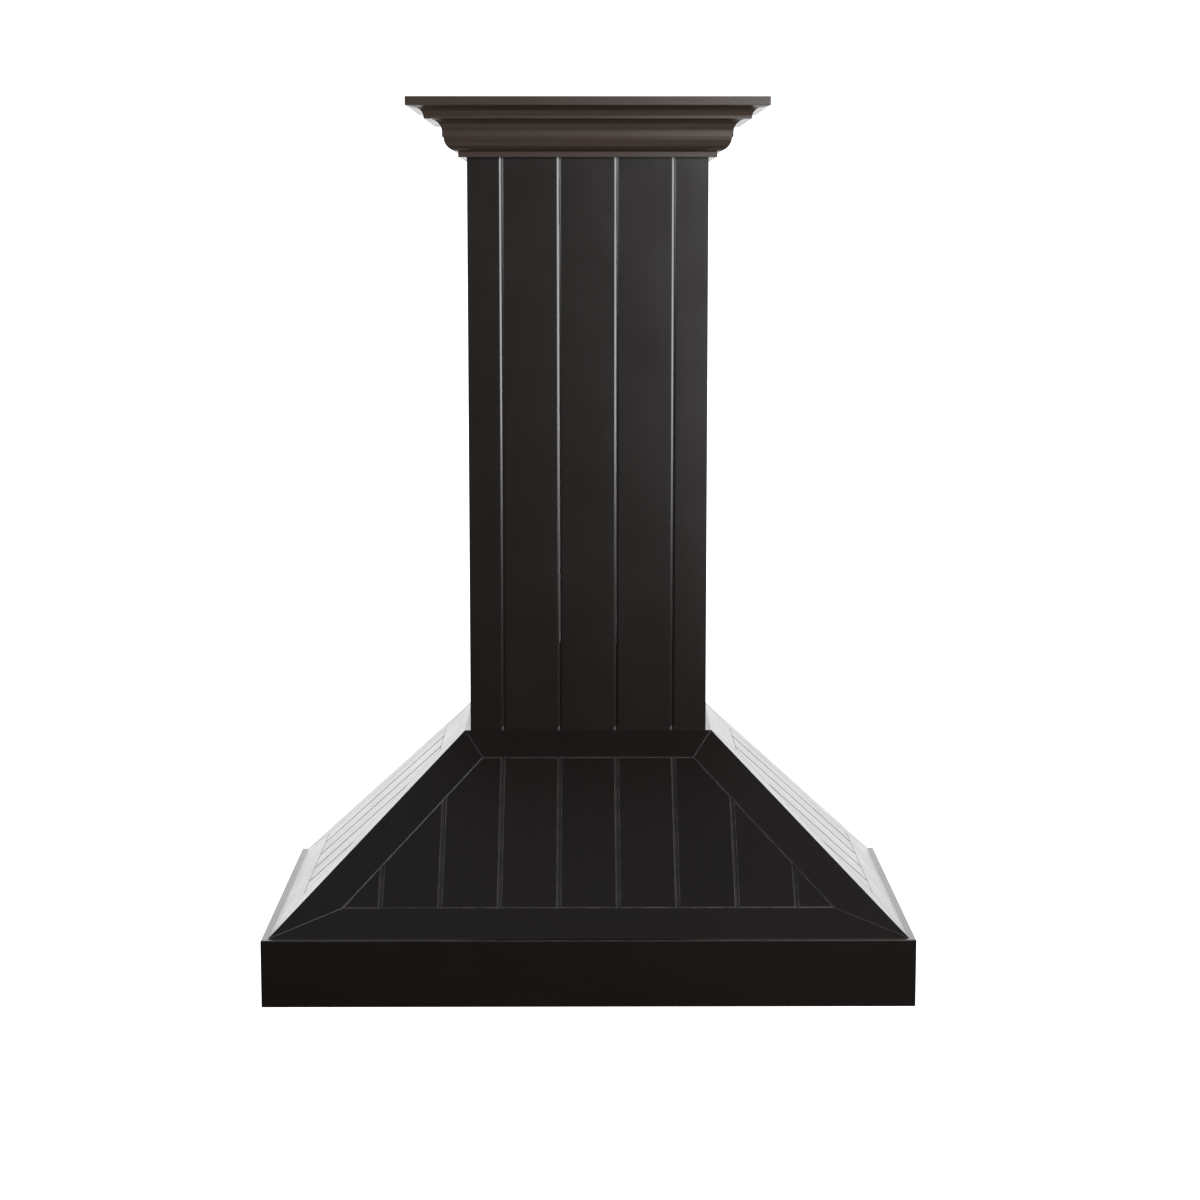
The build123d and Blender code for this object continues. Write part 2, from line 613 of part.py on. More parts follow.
with BuildPart() as liner_right_strip:
    with BuildSketch(Plane.XY.offset(Z_LINER)):
        rectangle(OPENING_HALF, LINER_HALF, -OPENING_FRONT, -OPENING_BACK)
    extrude(amount=SHEET)
    with BuildSketch(Plane.XY.offset(LINER_TOP)):
        rectangle(OPENING_HALF, OPENING_HALF + SHEET, -OPENING_FRONT, -OPENING_BACK)
    extrude(amount=LIP)
save_both(liner_right_strip, "liner_side_strips")

with BuildPart() as liner_centre_bar:
    with BuildSketch(Plane.XY.offset(Z_LINER)):
        rectangle(-CENTRE_BAR / 2, CENTRE_BAR / 2, -OPENING_FRONT, -OPENING_BACK)
    extrude(amount=SHEET)
    with BuildSketch(Plane.XY.offset(LINER_TOP)):
        for x in (-CENTRE_BAR / 2, CENTRE_BAR / 2 - SHEET):
            rectangle(x, x + SHEET, -OPENING_FRONT, -FILTER_BACK)
    extrude(amount=LIP)
save(liner_centre_bar, "liner_centre_bar")


# Plenum: a sheet funnel from the steel face up to the top plate
def canopy_inside_at(foot, head, level):
    """The inside of a slope at a level, from its outside at the foot and at the head."""
    run = foot - head
    board = CANOPY_BOARD * hypot(run, CANOPY_HEIGHT) / CANOPY_HEIGHT
    return foot - run * (level - Z_APRON) / CANOPY_HEIGHT - board


PLATE_HALF = canopy_inside_at(half_low, half_high, PLATE_TOP) - PLENUM_CLEARANCE
PLATE_FRONT = canopy_inside_at(front_low, front_high, PLATE_TOP) - PLENUM_CLEARANCE
PLENUM_TOP_HALF = PLATE_HALF - PLATE_MARGIN
PLENUM_TOP_FRONT = PLATE_FRONT - PLATE_MARGIN
PLENUM_SIZES = (
    OPENING_HALF + PLENUM_MARGIN,
    PLENUM_TOP_HALF,
    OPENING_FRONT + PLENUM_MARGIN,
    PLENUM_TOP_FRONT,
)
plenum_faces = slopes(*PLENUM_SIZES, LINER_TOP, PLATE_BOTTOM)
plenum_front_face, plenum_right_face, plenum_left_face = plenum_faces
plenum_half, plenum_front_y = PLENUM_SIZES[0], PLENUM_SIZES[2]
with BuildPart() as plenum_shell:
    plenum_air = sloped_block(*PLENUM_SIZES, PLENUM_BACK + SHEET, LINER_TOP, PLATE_BOTTOM, SHEET)
    add(sloped_block(*PLENUM_SIZES, PLENUM_BACK, LINER_TOP, PLATE_BOTTOM, 0))
    add(plenum_air, mode=Mode.SUBTRACT)
front_hips = (
    hip((plenum_half, -plenum_front_y, LINER_TOP), plenum_front_face, plenum_right_face),
    hip((-plenum_half, -plenum_front_y, LINER_TOP), plenum_front_face, plenum_left_face),
)
wall_face = Plane((0, -PLENUM_BACK, LINER_TOP), x_dir=(-1, 0, 0), z_dir=(0, 1, 0))
back_hips = (
    hip((plenum_half, -PLENUM_BACK, LINER_TOP), wall_face, plenum_right_face),
    hip((-plenum_half, -PLENUM_BACK, LINER_TOP), wall_face, plenum_left_face),
)
mid_depth = Plane((0, -(PLENUM_TOP_FRONT + PLENUM_BACK) / 2, LINER_TOP), z_dir=(0, -1, 0))
with BuildPart() as plenum_front_panel:
    add(plenum_shell.part)
    for plane in (mid_depth, *front_hips):
        split(bisect_by=plane, keep=Keep.TOP)
save(plenum_front_panel, "plenum_front_panel")

with BuildPart() as plenum_back_panel:
    add(plenum_shell.part)
    split(bisect_by=mid_depth, keep=Keep.BOTTOM)
    for plane in back_hips:
        split(bisect_by=plane, keep=Keep.TOP)
save(plenum_back_panel, "plenum_back_panel")

with BuildPart() as plenum_right_panel:
    add(plenum_shell.part)
    for plane in (front_hips[0], back_hips[0]):
        split(bisect_by=plane, keep=Keep.BOTTOM)
save_both(plenum_right_panel, "plenum_side_panels")

COLLAR_INSIDE = COLLAR - COLLAR_WALL
with BuildPart() as plenum_top_plate:
    with BuildSketch(Plane.XY.offset(PLATE_BOTTOM)):
        rectangle(-PLATE_HALF, PLATE_HALF, -PLATE_FRONT, PLATE_MARGIN - PLENUM_BACK)
        with Locations((0, -COLLAR_DEPTH)):
            Circle(COLLAR_INSIDE - PLATE_MARGIN, mode=Mode.SUBTRACT)
    extrude(amount=PLATE_SHEET)
save(plenum_top_plate, "plenum_top_plate")

# Filters: a channel frame that holds two rows of baffles, hung from a rod at the back
HOOK = HINGE_ROD + HINGE_FIT + HINGE_WALL
FILTER_TOP = Z_LINER + FILTER_THICK


def hinge_plane(x):
    return Plane((x, HINGE_Y, HINGE_Z), x_dir=(0, 1, 0), z_dir=(1, 0, 0))


def filter_frame(centre):
    """A channel bent round the four sides, with two open hooks for the hinge rod."""
    middle = (centre, -(FILTER_FRONT + FILTER_BACK) / 2)
    inside = 2 * FILTER_SHEET
    window = 2 * FILTER_BAR
    reach = FILTER_BACK + HINGE_Y
    with BuildPart() as frame:
        with BuildSketch(Plane.XY.offset(Z_LINER)):
            with Locations(middle):
                Rectangle(FILTER_WIDTH, FILTER_DEPTH)
        extrude(amount=FILTER_THICK)
        with BuildSketch(Plane.XY.offset(Z_LINER + FILTER_SHEET)):
            with Locations(middle):
                Rectangle(FILTER_WIDTH - inside, FILTER_DEPTH - inside)
        extrude(amount=FILTER_THICK - inside, mode=Mode.SUBTRACT)
        with BuildSketch(Plane.XY.offset(Z_LINER)):
            with Locations(middle):
                Rectangle(FILTER_WIDTH - window, FILTER_DEPTH - window)
        extrude(amount=FILTER_THICK, mode=Mode.SUBTRACT)
        for side in (-1, 1):
            with BuildSketch(hinge_plane(centre + side * (FILTER_WIDTH / 2 - HOOK_INSET))):
                RegularPolygon(HOOK, HOOK_SIDES, major_radius=False, rotation=180 / HOOK_SIDES)
                rectangle(-reach, 0, -HINGE_ROD, HINGE_ROD)
                Circle(HINGE_ROD + HINGE_FIT, mode=Mode.SUBTRACT)
                rectangle(0, HOOK, -HOOK, 0, mode=Mode.SUBTRACT)
            extrude(amount=HOOK_WIDTH / 2, both=True)
    return frame


def baffle_outline(centre, width, base, rise):
    """One channel seen end on, from its flat base to the ends of its flanges."""
    half = width / 2
    sheet = BAFFLE_SHEET if rise > 0 else -BAFFLE_SHEET
    Polygon(
        (centre - half, base),
        (centre + half, base),
        (centre + half, base + rise),
        (centre + half - BAFFLE_SHEET, base + rise),
        (centre + half - BAFFLE_SHEET, base + sheet),
        (centre - half + BAFFLE_SHEET, base + sheet),
        (centre - half + BAFFLE_SHEET, base + rise),
        (centre - half, base + rise),
        align=None,
    )


def filter_baffles(centre):
    """A lower row of channels, open upwards, and an upper row over the gaps between them."""
    span = FILTER_WIDTH - 2 * FILTER_BAR - BAFFLE_WIDTH
    count = round(span / BAFFLE_PITCH)
    pitch = span / count
    first = centre - span / 2
    bottom, top = Z_LINER + FILTER_SHEET, FILTER_TOP - FILTER_SHEET
    rise = (top - bottom) / 2 + BAFFLE_OVERLAP
    with BuildPart() as baffles:
        with BuildSketch(Plane.XZ.offset(FILTER_BACK + FILTER_SHEET)):
            for n in range(count + 1):
                baffle_outline(first + n * pitch, BAFFLE_WIDTH, bottom, rise)
            for n in range(count):
                baffle_outline(first + (n + 0.5) * pitch, BAFFLE_COVER, top, -rise)
        extrude(amount=FILTER_DEPTH - 2 * FILTER_SHEET)
    return baffles


def filter_handle(centre):
    """A strap folded down and along under the filter's front bar."""
    middle = (centre, FILTER_BAR / 2 - FILTER_FRONT, Z_LINER)
    half = HANDLE_SPAN / 2
    foot = half + HANDLE_FOOT
    inside = half - HANDLE_SHEET
    with BuildPart() as handle:
        with BuildSketch(Plane(middle, x_dir=(1, 0, 0), z_dir=(0, -1, 0))):
            rectangle(-foot, foot, -HANDLE_SHEET, 0)
            rectangle(-half, half, -HANDLE_DROP, 0)
            rectangle(-inside, inside, HANDLE_SHEET - HANDLE_DROP, 0, mode=Mode.SUBTRACT)
        extrude(amount=HANDLE_STRAP / 2, both=True)
    return handle


save_pair(filter_frame(FILTER_X), "filter_SIDE_frame")
save_pair(filter_baffles(FILTER_X), "filter_SIDE_baffles")
save_pair(filter_handle(FILTER_X), "filter_SIDE_handle")

with BuildPart() as filter_hinge_rod:
    with BuildSketch(hinge_plane(0)):
        Circle(HINGE_ROD)
    extrude(amount=OPENING_HALF - FILTER_GAP, both=True)
save(filter_hinge_rod, "filter_hinge_rod")

bracket_end = OPENING_HALF - FILTER_GAP - BRACKET_WIDTH / 2
with BuildPart() as hinge_brackets:
    for x in (-bracket_end, 0, bracket_end):
        with BuildSketch(hinge_plane(x)):
            RegularPolygon(HOOK, HOOK_SIDES, major_radius=False, rotation=180 / HOOK_SIDES)
            rectangle(0, -OPENING_BACK - HINGE_Y, -HINGE_ROD, HINGE_ROD)
            Circle(HINGE_ROD + HINGE_FIT, mode=Mode.SUBTRACT)
        extrude(amount=BRACKET_WIDTH / 2, both=True)
save(hinge_brackets, "hinge_brackets")

with BuildPart() as filter_catches:
    bulge = FILTER_GAP - CATCH_CLEARANCE
    for x in (-FILTER_X, FILTER_X):
        lip_face = Plane((x, -OPENING_FRONT, LINER_TOP), x_dir=(0, 1, 0), z_dir=(1, 0, 0))
        with BuildSketch(lip_face):
            with BuildLine():
                ThreePointArc((0, 0), (bulge, LIP / 2), (0, LIP))
                inner = bulge - CATCH_SHEET
                ThreePointArc((0, LIP - CATCH_SHEET), (inner, LIP / 2), (0, CATCH_SHEET))
                Line((0, LIP), (0, LIP - CATCH_SHEET))
                Line((0, CATCH_SHEET), (0, 0))
            make_face()
        extrude(amount=CATCH_WIDTH / 2, both=True)
save(filter_catches, "filter_catches")

# Lamps: a bezel below the steel face, a lens on its ledge and a closed module above
LAMP_SPOTS = [(-LAMP_X, STRIP_Y), (LAMP_X, STRIP_Y)]


def lamp_blocks(level, rise, margin, window=None):
    """A block past each lens by margin, with a window past it by window, added to the current part."""
    with BuildSketch(Plane.XY.offset(level)) as blocks:
        with Locations(*LAMP_SPOTS):
            Rectangle(LAMP_LENGTH + 2 * margin, LAMP_WIDTH + 2 * margin)
            if window is not None:
                Rectangle(LAMP_LENGTH + 2 * window, LAMP_WIDTH + 2 * window, mode=Mode.SUBTRACT)
    extrude(blocks.sketch, amount=rise)


LEDGE_TOP = Z_LINER - LAMP_BEZEL + LAMP_LEDGE
with BuildPart() as lamp_bezels:
    lamp_blocks(Z_LINER - LAMP_BEZEL, LAMP_LEDGE, LAMP_RIM, -LAMP_WINDOW)
    lamp_blocks(LEDGE_TOP, LAMP_BEZEL - LAMP_LEDGE, LAMP_RIM, LAMP_FIT)
    chamfer(lamp_bezels.faces().group_by(Axis.Z)[0].edges(), LAMP_EDGE)
save(lamp_bezels, "lamp_bezels")

with BuildPart() as lamp_lenses:
    lamp_blocks(LEDGE_TOP, LENS_THICK, 0)
save(lamp_lenses, "lamp_lenses")

with BuildPart() as lamp_cans:
    lamp_blocks(LINER_TOP, CAN_HEIGHT, LAMP_WALL)
save(lamp_cans, "lamp_cans")

# Push buttons: a bezel below the steel face, five buttons and a switch housing above
BEZEL_LENGTH = SLOT_LENGTH + 2 * BEZEL_MARGIN
BEZEL_WIDTH = SLOT_WIDTH + 2 * BEZEL_MARGIN
window_fit = 2 * BUTTON_FIT
with BuildPart() as control_bezel:
    with BuildSketch(Plane.XY.offset(Z_LINER)):
        with Locations((0, STRIP_Y)):
            Rectangle(BEZEL_LENGTH, BEZEL_WIDTH)
        with Locations(*BUTTON_SPOTS):
            Rectangle(BUTTON_WIDTH + window_fit, BUTTON_DEPTH + window_fit, mode=Mode.SUBTRACT)
    extrude(amount=-BEZEL_THICK)
    chamfer(control_bezel.faces().sort_by(Axis.Z)[0].outer_wire().edges(), BEZEL_EDGE)
save(control_bezel, "control_bezel")

flange_bottom = Z_LINER + BUTTON_SEAT
flange_top = flange_bottom + BUTTON_FLANGE_SHEET
button_face = Z_LINER - BEZEL_THICK - BUTTON_PROUD
for spot, button_name in zip(BUTTON_SPOTS, BUTTON_NAMES):
    with BuildPart() as button:
        with BuildSketch(Plane.XY.offset(button_face)):
            with Locations(spot):
                Rectangle(BUTTON_WIDTH, BUTTON_DEPTH)
        extrude(amount=flange_bottom - button_face)
        chamfer(button.edges().group_by(Axis.Z)[0], BUTTON_EDGE)
        with BuildSketch(Plane.XY.offset(flange_bottom)):
            with Locations(spot):
                Rectangle(FLANGE_WIDTH, FLANGE_DEPTH)
        extrude(amount=BUTTON_FLANGE_SHEET)
        with BuildSketch(Plane.XY.offset(flange_top)):
            with Locations(spot):
                Rectangle(BUTTON_STEM, BUTTON_STEM)
        extrude(amount=BUTTON_STEM_RISE)
    save(button, f"button_{button_name}")

switch_bottom = flange_top + BUTTON_STEM_RISE + BUTTON_TRAVEL + STOP_CLEARANCE
with BuildPart() as switch_housing:
    with BuildSketch(Plane.XY.offset(LINER_TOP)):
        with Locations((0, STRIP_Y)):
            Rectangle(BEZEL_LENGTH, BEZEL_WIDTH)
    extrude(amount=HOUSING_HEIGHT)
    with BuildSketch(Plane.XY.offset(LINER_TOP)):
        with Locations((0, STRIP_Y)):
            Rectangle(BEZEL_LENGTH - 2 * HOUSING_WALL, BEZEL_WIDTH - 2 * HOUSING_WALL)
    extrude(amount=HOUSING_HEIGHT - HOUSING_WALL, mode=Mode.SUBTRACT)
    with BuildSketch(Plane.XY.offset(switch_bottom)):
        with Locations(*BUTTON_SPOTS):
            Rectangle(SWITCH_BODY, SWITCH_BODY)
    extrude(amount=LINER_TOP + HOUSING_HEIGHT - HOUSING_WALL - switch_bottom)
save(switch_housing, "switch_housing")


# Blower: a scroll between two side plates, with the motor on the left and the inlet on the right
def blower_plane(x):
    return Plane((x, BLOWER_Y, BLOWER_Z), x_dir=(0, 1, 0), z_dir=(1, 0, 0))


# The air side of the scroll: three growing quarter arcs, the outlet's walls and the tongue
scroll_front, scroll_bottom, scroll_back = (SCROLL_START + n * SCROLL_STEP for n in range(3))
outlet_top = OUTLET_RISE + PLATE_SHEET
with BuildSketch() as scroll_air:
    with BuildLine():
        Line((TONGUE, SCROLL_START), (0, SCROLL_START))
        CenterArc((0, 0), scroll_front, 90, 90)
        CenterArc((SCROLL_STEP, 0), scroll_bottom, 180, 90)
        CenterArc((SCROLL_STEP, SCROLL_STEP), scroll_back, 270, 90)
        Polyline(
            (OUTLET_BACK, SCROLL_STEP),
            (OUTLET_BACK, outlet_top),
            (TONGUE, outlet_top),
            (TONGUE, SCROLL_START),
        )
    make_face()
with BuildSketch() as scroll_outside:
    add(scroll_air.sketch)
    offset(amount=SHEET, kind=Kind.INTERSECTION)

plate_underside = Plane.XY.offset(PLATE_BOTTOM)
with BuildPart() as blower_scroll:
    with BuildSketch(blower_plane(0)):
        add(scroll_outside.sketch)
        add(scroll_air.sketch, mode=Mode.SUBTRACT)
    extrude(amount=SCROLL_WIDTH / 2, both=True)
    split(bisect_by=plate_underside, keep=Keep.BOTTOM)
save(blower_scroll, "blower_scroll")

with BuildPart() as blower_side_plates:
    inner_face = SCROLL_WIDTH / 2
    for side, opening in ((-1, SHAFT_HOLE), (1, INLET)):
        with BuildSketch(blower_plane(side * inner_face)):
            add(scroll_outside.sketch)
            Circle(opening, mode=Mode.SUBTRACT)
        extrude(amount=side * SHEET)
    split(bisect_by=plate_underside, keep=Keep.BOTTOM)
    with BuildSketch(plate_underside):
        for tab in (-inner_face - SHEET - TAB, inner_face + SHEET):
            rectangle(tab, tab + TAB, BLOWER_Y + TONGUE, BLOWER_Y + OUTLET_BACK)
    extrude(amount=-SHEET)
save(blower_side_plates, "blower_side_plates")

motor_face = -SCROLL_WIDTH / 2 - SHEET
with BuildPart() as blower_motor:
    with BuildSketch(blower_plane(motor_face)):
        Circle(MOTOR)
    extrude(amount=-MOTOR_LENGTH)
    with BuildSketch(blower_plane(motor_face)):
        Circle(SHAFT + SHAFT_FIT)
    extrude(amount=-SHAFT_IN_MOTOR - SHAFT_ROOM, mode=Mode.SUBTRACT)
save(blower_motor, "blower_motor")

disc_face = -WHEEL_WIDTH / 2
shaft_start = motor_face - SHAFT_IN_MOTOR
with BuildPart() as motor_shaft:
    with BuildSketch(blower_plane(shaft_start)):
        Circle(SHAFT)
    extrude(amount=disc_face + WHEEL_DISC + SHAFT_PROUD - shaft_start)
save(motor_shaft, "motor_shaft")

# Blower wheel: bent blades between a disc on the motor's side and a ring at the inlet
blade_tip = WHEEL - BLADE_INSET
blade_foot = blade_tip - BLADE_CHORD
blade_middle = (blade_tip + blade_foot) / 2
with BuildSketch() as blade:
    Polygon(
        (blade_foot, 0),
        (blade_middle, BLADE_BEND),
        (blade_tip, 0),
        (blade_tip, BLADE_SHEET),
        (blade_middle, BLADE_BEND + BLADE_SHEET),
        (blade_foot, BLADE_SHEET),
        align=None,
    )
with BuildPart() as blower_wheel:
    with BuildSketch(blower_plane(disc_face)):
        Circle(WHEEL)
        Circle(SHAFT + SHAFT_FIT, mode=Mode.SUBTRACT)
    extrude(amount=WHEEL_DISC)
    with BuildSketch(blower_plane(disc_face + WHEEL_DISC)):
        with PolarLocations(0, BLADE_COUNT):
            add(blade.sketch)
    extrude(amount=WHEEL_WIDTH - WHEEL_DISC - WHEEL_RING)
    with BuildSketch(blower_plane(WHEEL_WIDTH / 2 - WHEEL_RING)):
        Circle(WHEEL)
        Circle(blade_foot - BLADE_INSET, mode=Mode.SUBTRACT)
    extrude(amount=WHEEL_RING)
save(blower_wheel, "blower_wheel")

# Duct collar with two damper flaps that swing up from stops inside it
collar_centre = (0, -COLLAR_DEPTH)
damper_z = PLATE_TOP + DAMPER_RISE
stop_top = damper_z - DAMPER_SHEET / 2 - STOP_CLEARANCE


def damper_pivot(side):
    """The plane square to a flap's pivot; side is -1 for the front flap and 1 for the back."""
    place = (0, side * DAMPER_SPLIT - COLLAR_DEPTH, damper_z)
    return Plane(place, x_dir=(0, 1, 0), z_dir=(1, 0, 0))


with BuildPart() as duct_collar:
    with BuildSketch(Plane.XY.offset(PLATE_TOP)):
        with Locations(collar_centre):
            Circle(COLLAR)
            Circle(COLLAR_INSIDE, mode=Mode.SUBTRACT)
    extrude(amount=COLLAR_HEIGHT)
    with BuildSketch(Plane.XY.offset(stop_top - STOP_SHEET)):
        with Locations(collar_centre):
            Circle(COLLAR - COLLAR_WALL / 2)
            Circle(COLLAR_INSIDE - DAMPER_STOP, mode=Mode.SUBTRACT)
            Rectangle(2 * COLLAR, 2 * (COLLAR_INSIDE - STOP_DEPTH), mode=Mode.SUBTRACT)
    extrude(amount=STOP_SHEET)
    for side in (-1, 1):
        with BuildSketch(damper_pivot(side)):
            RegularPolygon(DAMPER_ROD + DAMPER_FIT, SEAT_SIDES, major_radius=False)
        extrude(amount=COLLAR, both=True, mode=Mode.SUBTRACT)
save(duct_collar, "duct_collar")


def damper_flap(side):
    """One half-round flap with its pivot rod."""
    edge = side * DAMPER_SPLIT - COLLAR_DEPTH
    far = side * COLLAR - COLLAR_DEPTH
    with BuildPart() as flap:
        with BuildSketch(Plane.XY.offset(damper_z - DAMPER_SHEET / 2)):
            with Locations(collar_centre):
                Circle(COLLAR_INSIDE - DAMPER_GAP)
            rectangle(-COLLAR, COLLAR, min(edge, far), max(edge, far), mode=Mode.INTERSECT)
        extrude(amount=DAMPER_SHEET)
        with BuildSketch(damper_pivot(side)):
            Circle(DAMPER_ROD)
        extrude(amount=COLLAR - COLLAR_WALL / 2, both=True)
    return flap


save(damper_flap(-1), "damper_flap_front")
save(damper_flap(1), "damper_flap_back")

# Wiring box beside the collar, with a rubber gland for the supply cable in its lid
box_low = COLLAR + BOX_SPACE
box_centre = (box_low + BOX_WIDTH / 2, -COLLAR_DEPTH)
box_lid = PLATE_TOP + BOX_HEIGHT
with BuildPart() as wiring_box:
    with BuildSketch(Plane.XY.offset(PLATE_TOP)):
        with Locations(box_centre):
            Rectangle(BOX_WIDTH, BOX_DEPTH)
    extrude(amount=BOX_HEIGHT)
    with BuildSketch(Plane.XY.offset(PLATE_TOP)):
        with Locations(box_centre):
            Rectangle(BOX_WIDTH - 2 * BOX_WALL, BOX_DEPTH - 2 * BOX_WALL)
    extrude(amount=BOX_HEIGHT - BOX_WALL, mode=Mode.SUBTRACT)
    with BuildSketch(Plane.XY.offset(box_lid)):
        with Locations(box_centre):
            Circle(GLAND_BORE + GLAND_MARGIN)
    extrude(amount=-BOX_WALL, mode=Mode.SUBTRACT)
save(wiring_box, "wiring_box")

with BuildPart() as cable_gland:
    with BuildSketch(Plane.XY.offset(box_lid)):
        with Locations(box_centre):
            RegularPolygon(GLAND_NUT, 6)
            Circle(GLAND_BORE, mode=Mode.SUBTRACT)
    extrude(amount=GLAND_LENGTH)
save(cable_gland, "cable_gland")
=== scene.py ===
"""Black lacquered wall hood: the finished look over its CAD frame, and the studio it stands in."""

import json
import math

import bmesh
import bpy
from bpy.props import FloatProperty, FloatVectorProperty, PointerProperty
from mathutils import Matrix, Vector


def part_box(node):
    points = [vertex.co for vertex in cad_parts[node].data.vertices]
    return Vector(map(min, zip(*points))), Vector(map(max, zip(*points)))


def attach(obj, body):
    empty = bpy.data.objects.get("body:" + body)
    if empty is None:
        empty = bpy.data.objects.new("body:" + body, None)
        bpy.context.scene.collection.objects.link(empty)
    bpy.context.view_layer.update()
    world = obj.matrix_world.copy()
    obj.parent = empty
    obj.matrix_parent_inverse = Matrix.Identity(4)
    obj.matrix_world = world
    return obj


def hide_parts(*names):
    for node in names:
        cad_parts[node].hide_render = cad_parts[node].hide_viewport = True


bl_info = {
    "name": "Lacquered wall hood",
    "version": (1, 0, 0),
    "blender": (4, 5, 0),
    "location": "3D View > Sidebar > Wall hood",
    "description": "Finishes a wooden wall hood in lacquer and steel, and sets up its studio",
    "category": "Object",
}

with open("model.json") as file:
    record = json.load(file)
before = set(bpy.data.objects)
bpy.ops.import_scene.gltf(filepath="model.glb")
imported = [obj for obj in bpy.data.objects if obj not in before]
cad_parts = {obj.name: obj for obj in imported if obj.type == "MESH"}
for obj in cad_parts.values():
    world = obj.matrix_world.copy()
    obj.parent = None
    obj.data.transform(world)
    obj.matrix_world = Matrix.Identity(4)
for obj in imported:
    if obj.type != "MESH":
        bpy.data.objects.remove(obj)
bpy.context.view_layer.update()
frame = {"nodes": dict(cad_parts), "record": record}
NODES = frame["nodes"]
BODY_OF = {
    name: body for body, names in frame["record"]["behaviour"]["bodies"].items() for name in names
}

# Turns of a pattern that runs along Z
ACROSS = (0.0, math.pi / 2, 0.0)  # to run along X
INTO_WALL = (math.pi / 2, 0.0, 0.0)  # to run along Y
UPRIGHT = (0.0, 0.0, 0.0)

# Widths of patterns in metres: the real ones, or as coarse as they are drawn
SPRAY_CLOUD = 0.09
RUB_LENGTH = 0.025
OIL_CLOUD = 0.006
BLAST_GRAIN = 0.0004
PLASTIC_GRIT = 0.0006
LENS_PRISM = 0.0012
ORANGE_PEEL = 0.0025
RUBBER_BLOOM = 0.005
# Length of the wood's figure and of a brush mark, in widths
RING_STRETCH = 30
BRUSH_STRETCH = 90

PORE_TONE = 0.75  # tone of the lacquer over a pore
GLOSS_SPREAD = 0.025  # how far the lacquer's roughness strays
SANDED_DULLNESS = 0.26  # roughness that sanding adds at a joint
SPANGLE_BEND = 0.5  # how far a crystal's outline strays, in crystals

# How far the canopy's and the apron's edges are rubbed through, and how bright their painted glint
# is
FRONT_RUB_AND_GLINT = 1.0
SIDE_RUB_AND_GLINT = 0.4
APRON_RUB_AND_GLINT = 0.3
BOARD_RUB_AND_GLINT = 0.6  # of the rub and painted glint on the frame round the boards

MERGE_GAP = 1e-6  # corners closer than this are one
FLAT_ANGLE = math.radians(0.5)  # faces that meet at less are one
CORNER_ANGLE = math.radians(28)  # edges that turn by more are eased
SHARP_ANGLE = math.radians(20)  # edges that turn by more stay crisp
CHAMFER_WIDTH = 0.004  # faces narrower than this are the chamfers of a joint

# Edges of the filters' parts, in shares of the steel's deburred edge
BAFFLE_EASE = 0.6
HANDLE_EASE = 2
CATCH_EASE = 0.5
# Edge widths of the small parts, in metres
BEZEL_EASE = 0.0004
WIRING_BOX_EASE = 0.0006
GLAND_EASE = 0.0008
MOTOR_ROUNDING = 0.004

# The liner's screws: the shares are of the head's radius and of its rise
SCREWS_IN_ROW = 5
FLANGE_TAPER = 0.92
FLANGE_RISE = 0.3
HEXAGON = 0.68
HEXAGON_EASE = 0.15

# Each board's shade, from 0 to 1, steps on by the golden ratio
FIRST_SHADE = 0.3
SHADE_STEP = 0.618

# Each soft box's place, target, width and height, in metres, and its radiance
SOFT_BOXES = {
    # Right of the camera: brightens the right of the chimney and the crown
    "key_soft_box": ((1.05, -3.2, 0.95), (0.0, -0.3, 0.8), 1.1, 1.9, 4.0),
    # Higher: the right of the crown mirrors this
    "crown_soft_box": ((0.85, -3.1, 1.6), (0.3, -0.3, 1.05), 0.6, 0.8, 9.5),
    # To both sides: the boards' grooves mirror these
    "right_soft_box": ((1.95, -1.32, 0.9), (0.0, -0.25, 0.9), 0.8, 1.2, 12.0),
    "left_soft_box": ((-1.95, -1.32, 1.2), (0.0, -0.25, 1.0), 0.8, 0.7, 4.5),
    # Below: lights the steel underneath and the inside of the plenum
    "low_soft_box": ((0.0, -0.2, -1.8), (0.0, -0.2, 0.0), 1.4, 1.0, 3.0),
}
# The surroundings in front of the hood, from straight down, 0, to straight up, 1: position, grey
# and warmth. The light that comes up off the floor is the warmest.
FRONT_STOPS = (
    (0.15, 0.4, 0.04), (0.26, 0.0, 0.12), (0.34, 0.0, 0.12), (0.42, 0.12, 0.12),
    (0.5, 0.155, 0.06), (0.56, 0.31, 0.02), (0.7, 0.6, -0.02), (0.95, 0.2, -0.04),
)
FLOOR_CENTRE_Y = -0.5
FLOOR_FADE = (0.35, 0.98)  # where the floor starts and ends its fade, in shares of its reach


def linear(code):
    """An sRGB hex colour as linear red, green and blue."""
    values = [int(code[n : n + 2], 16) / 255 for n in (1, 3, 5)]
    return [v / 12.92 if v <= 0.04045 else ((v + 0.055) / 1.055) ** 2.4 for v in values]


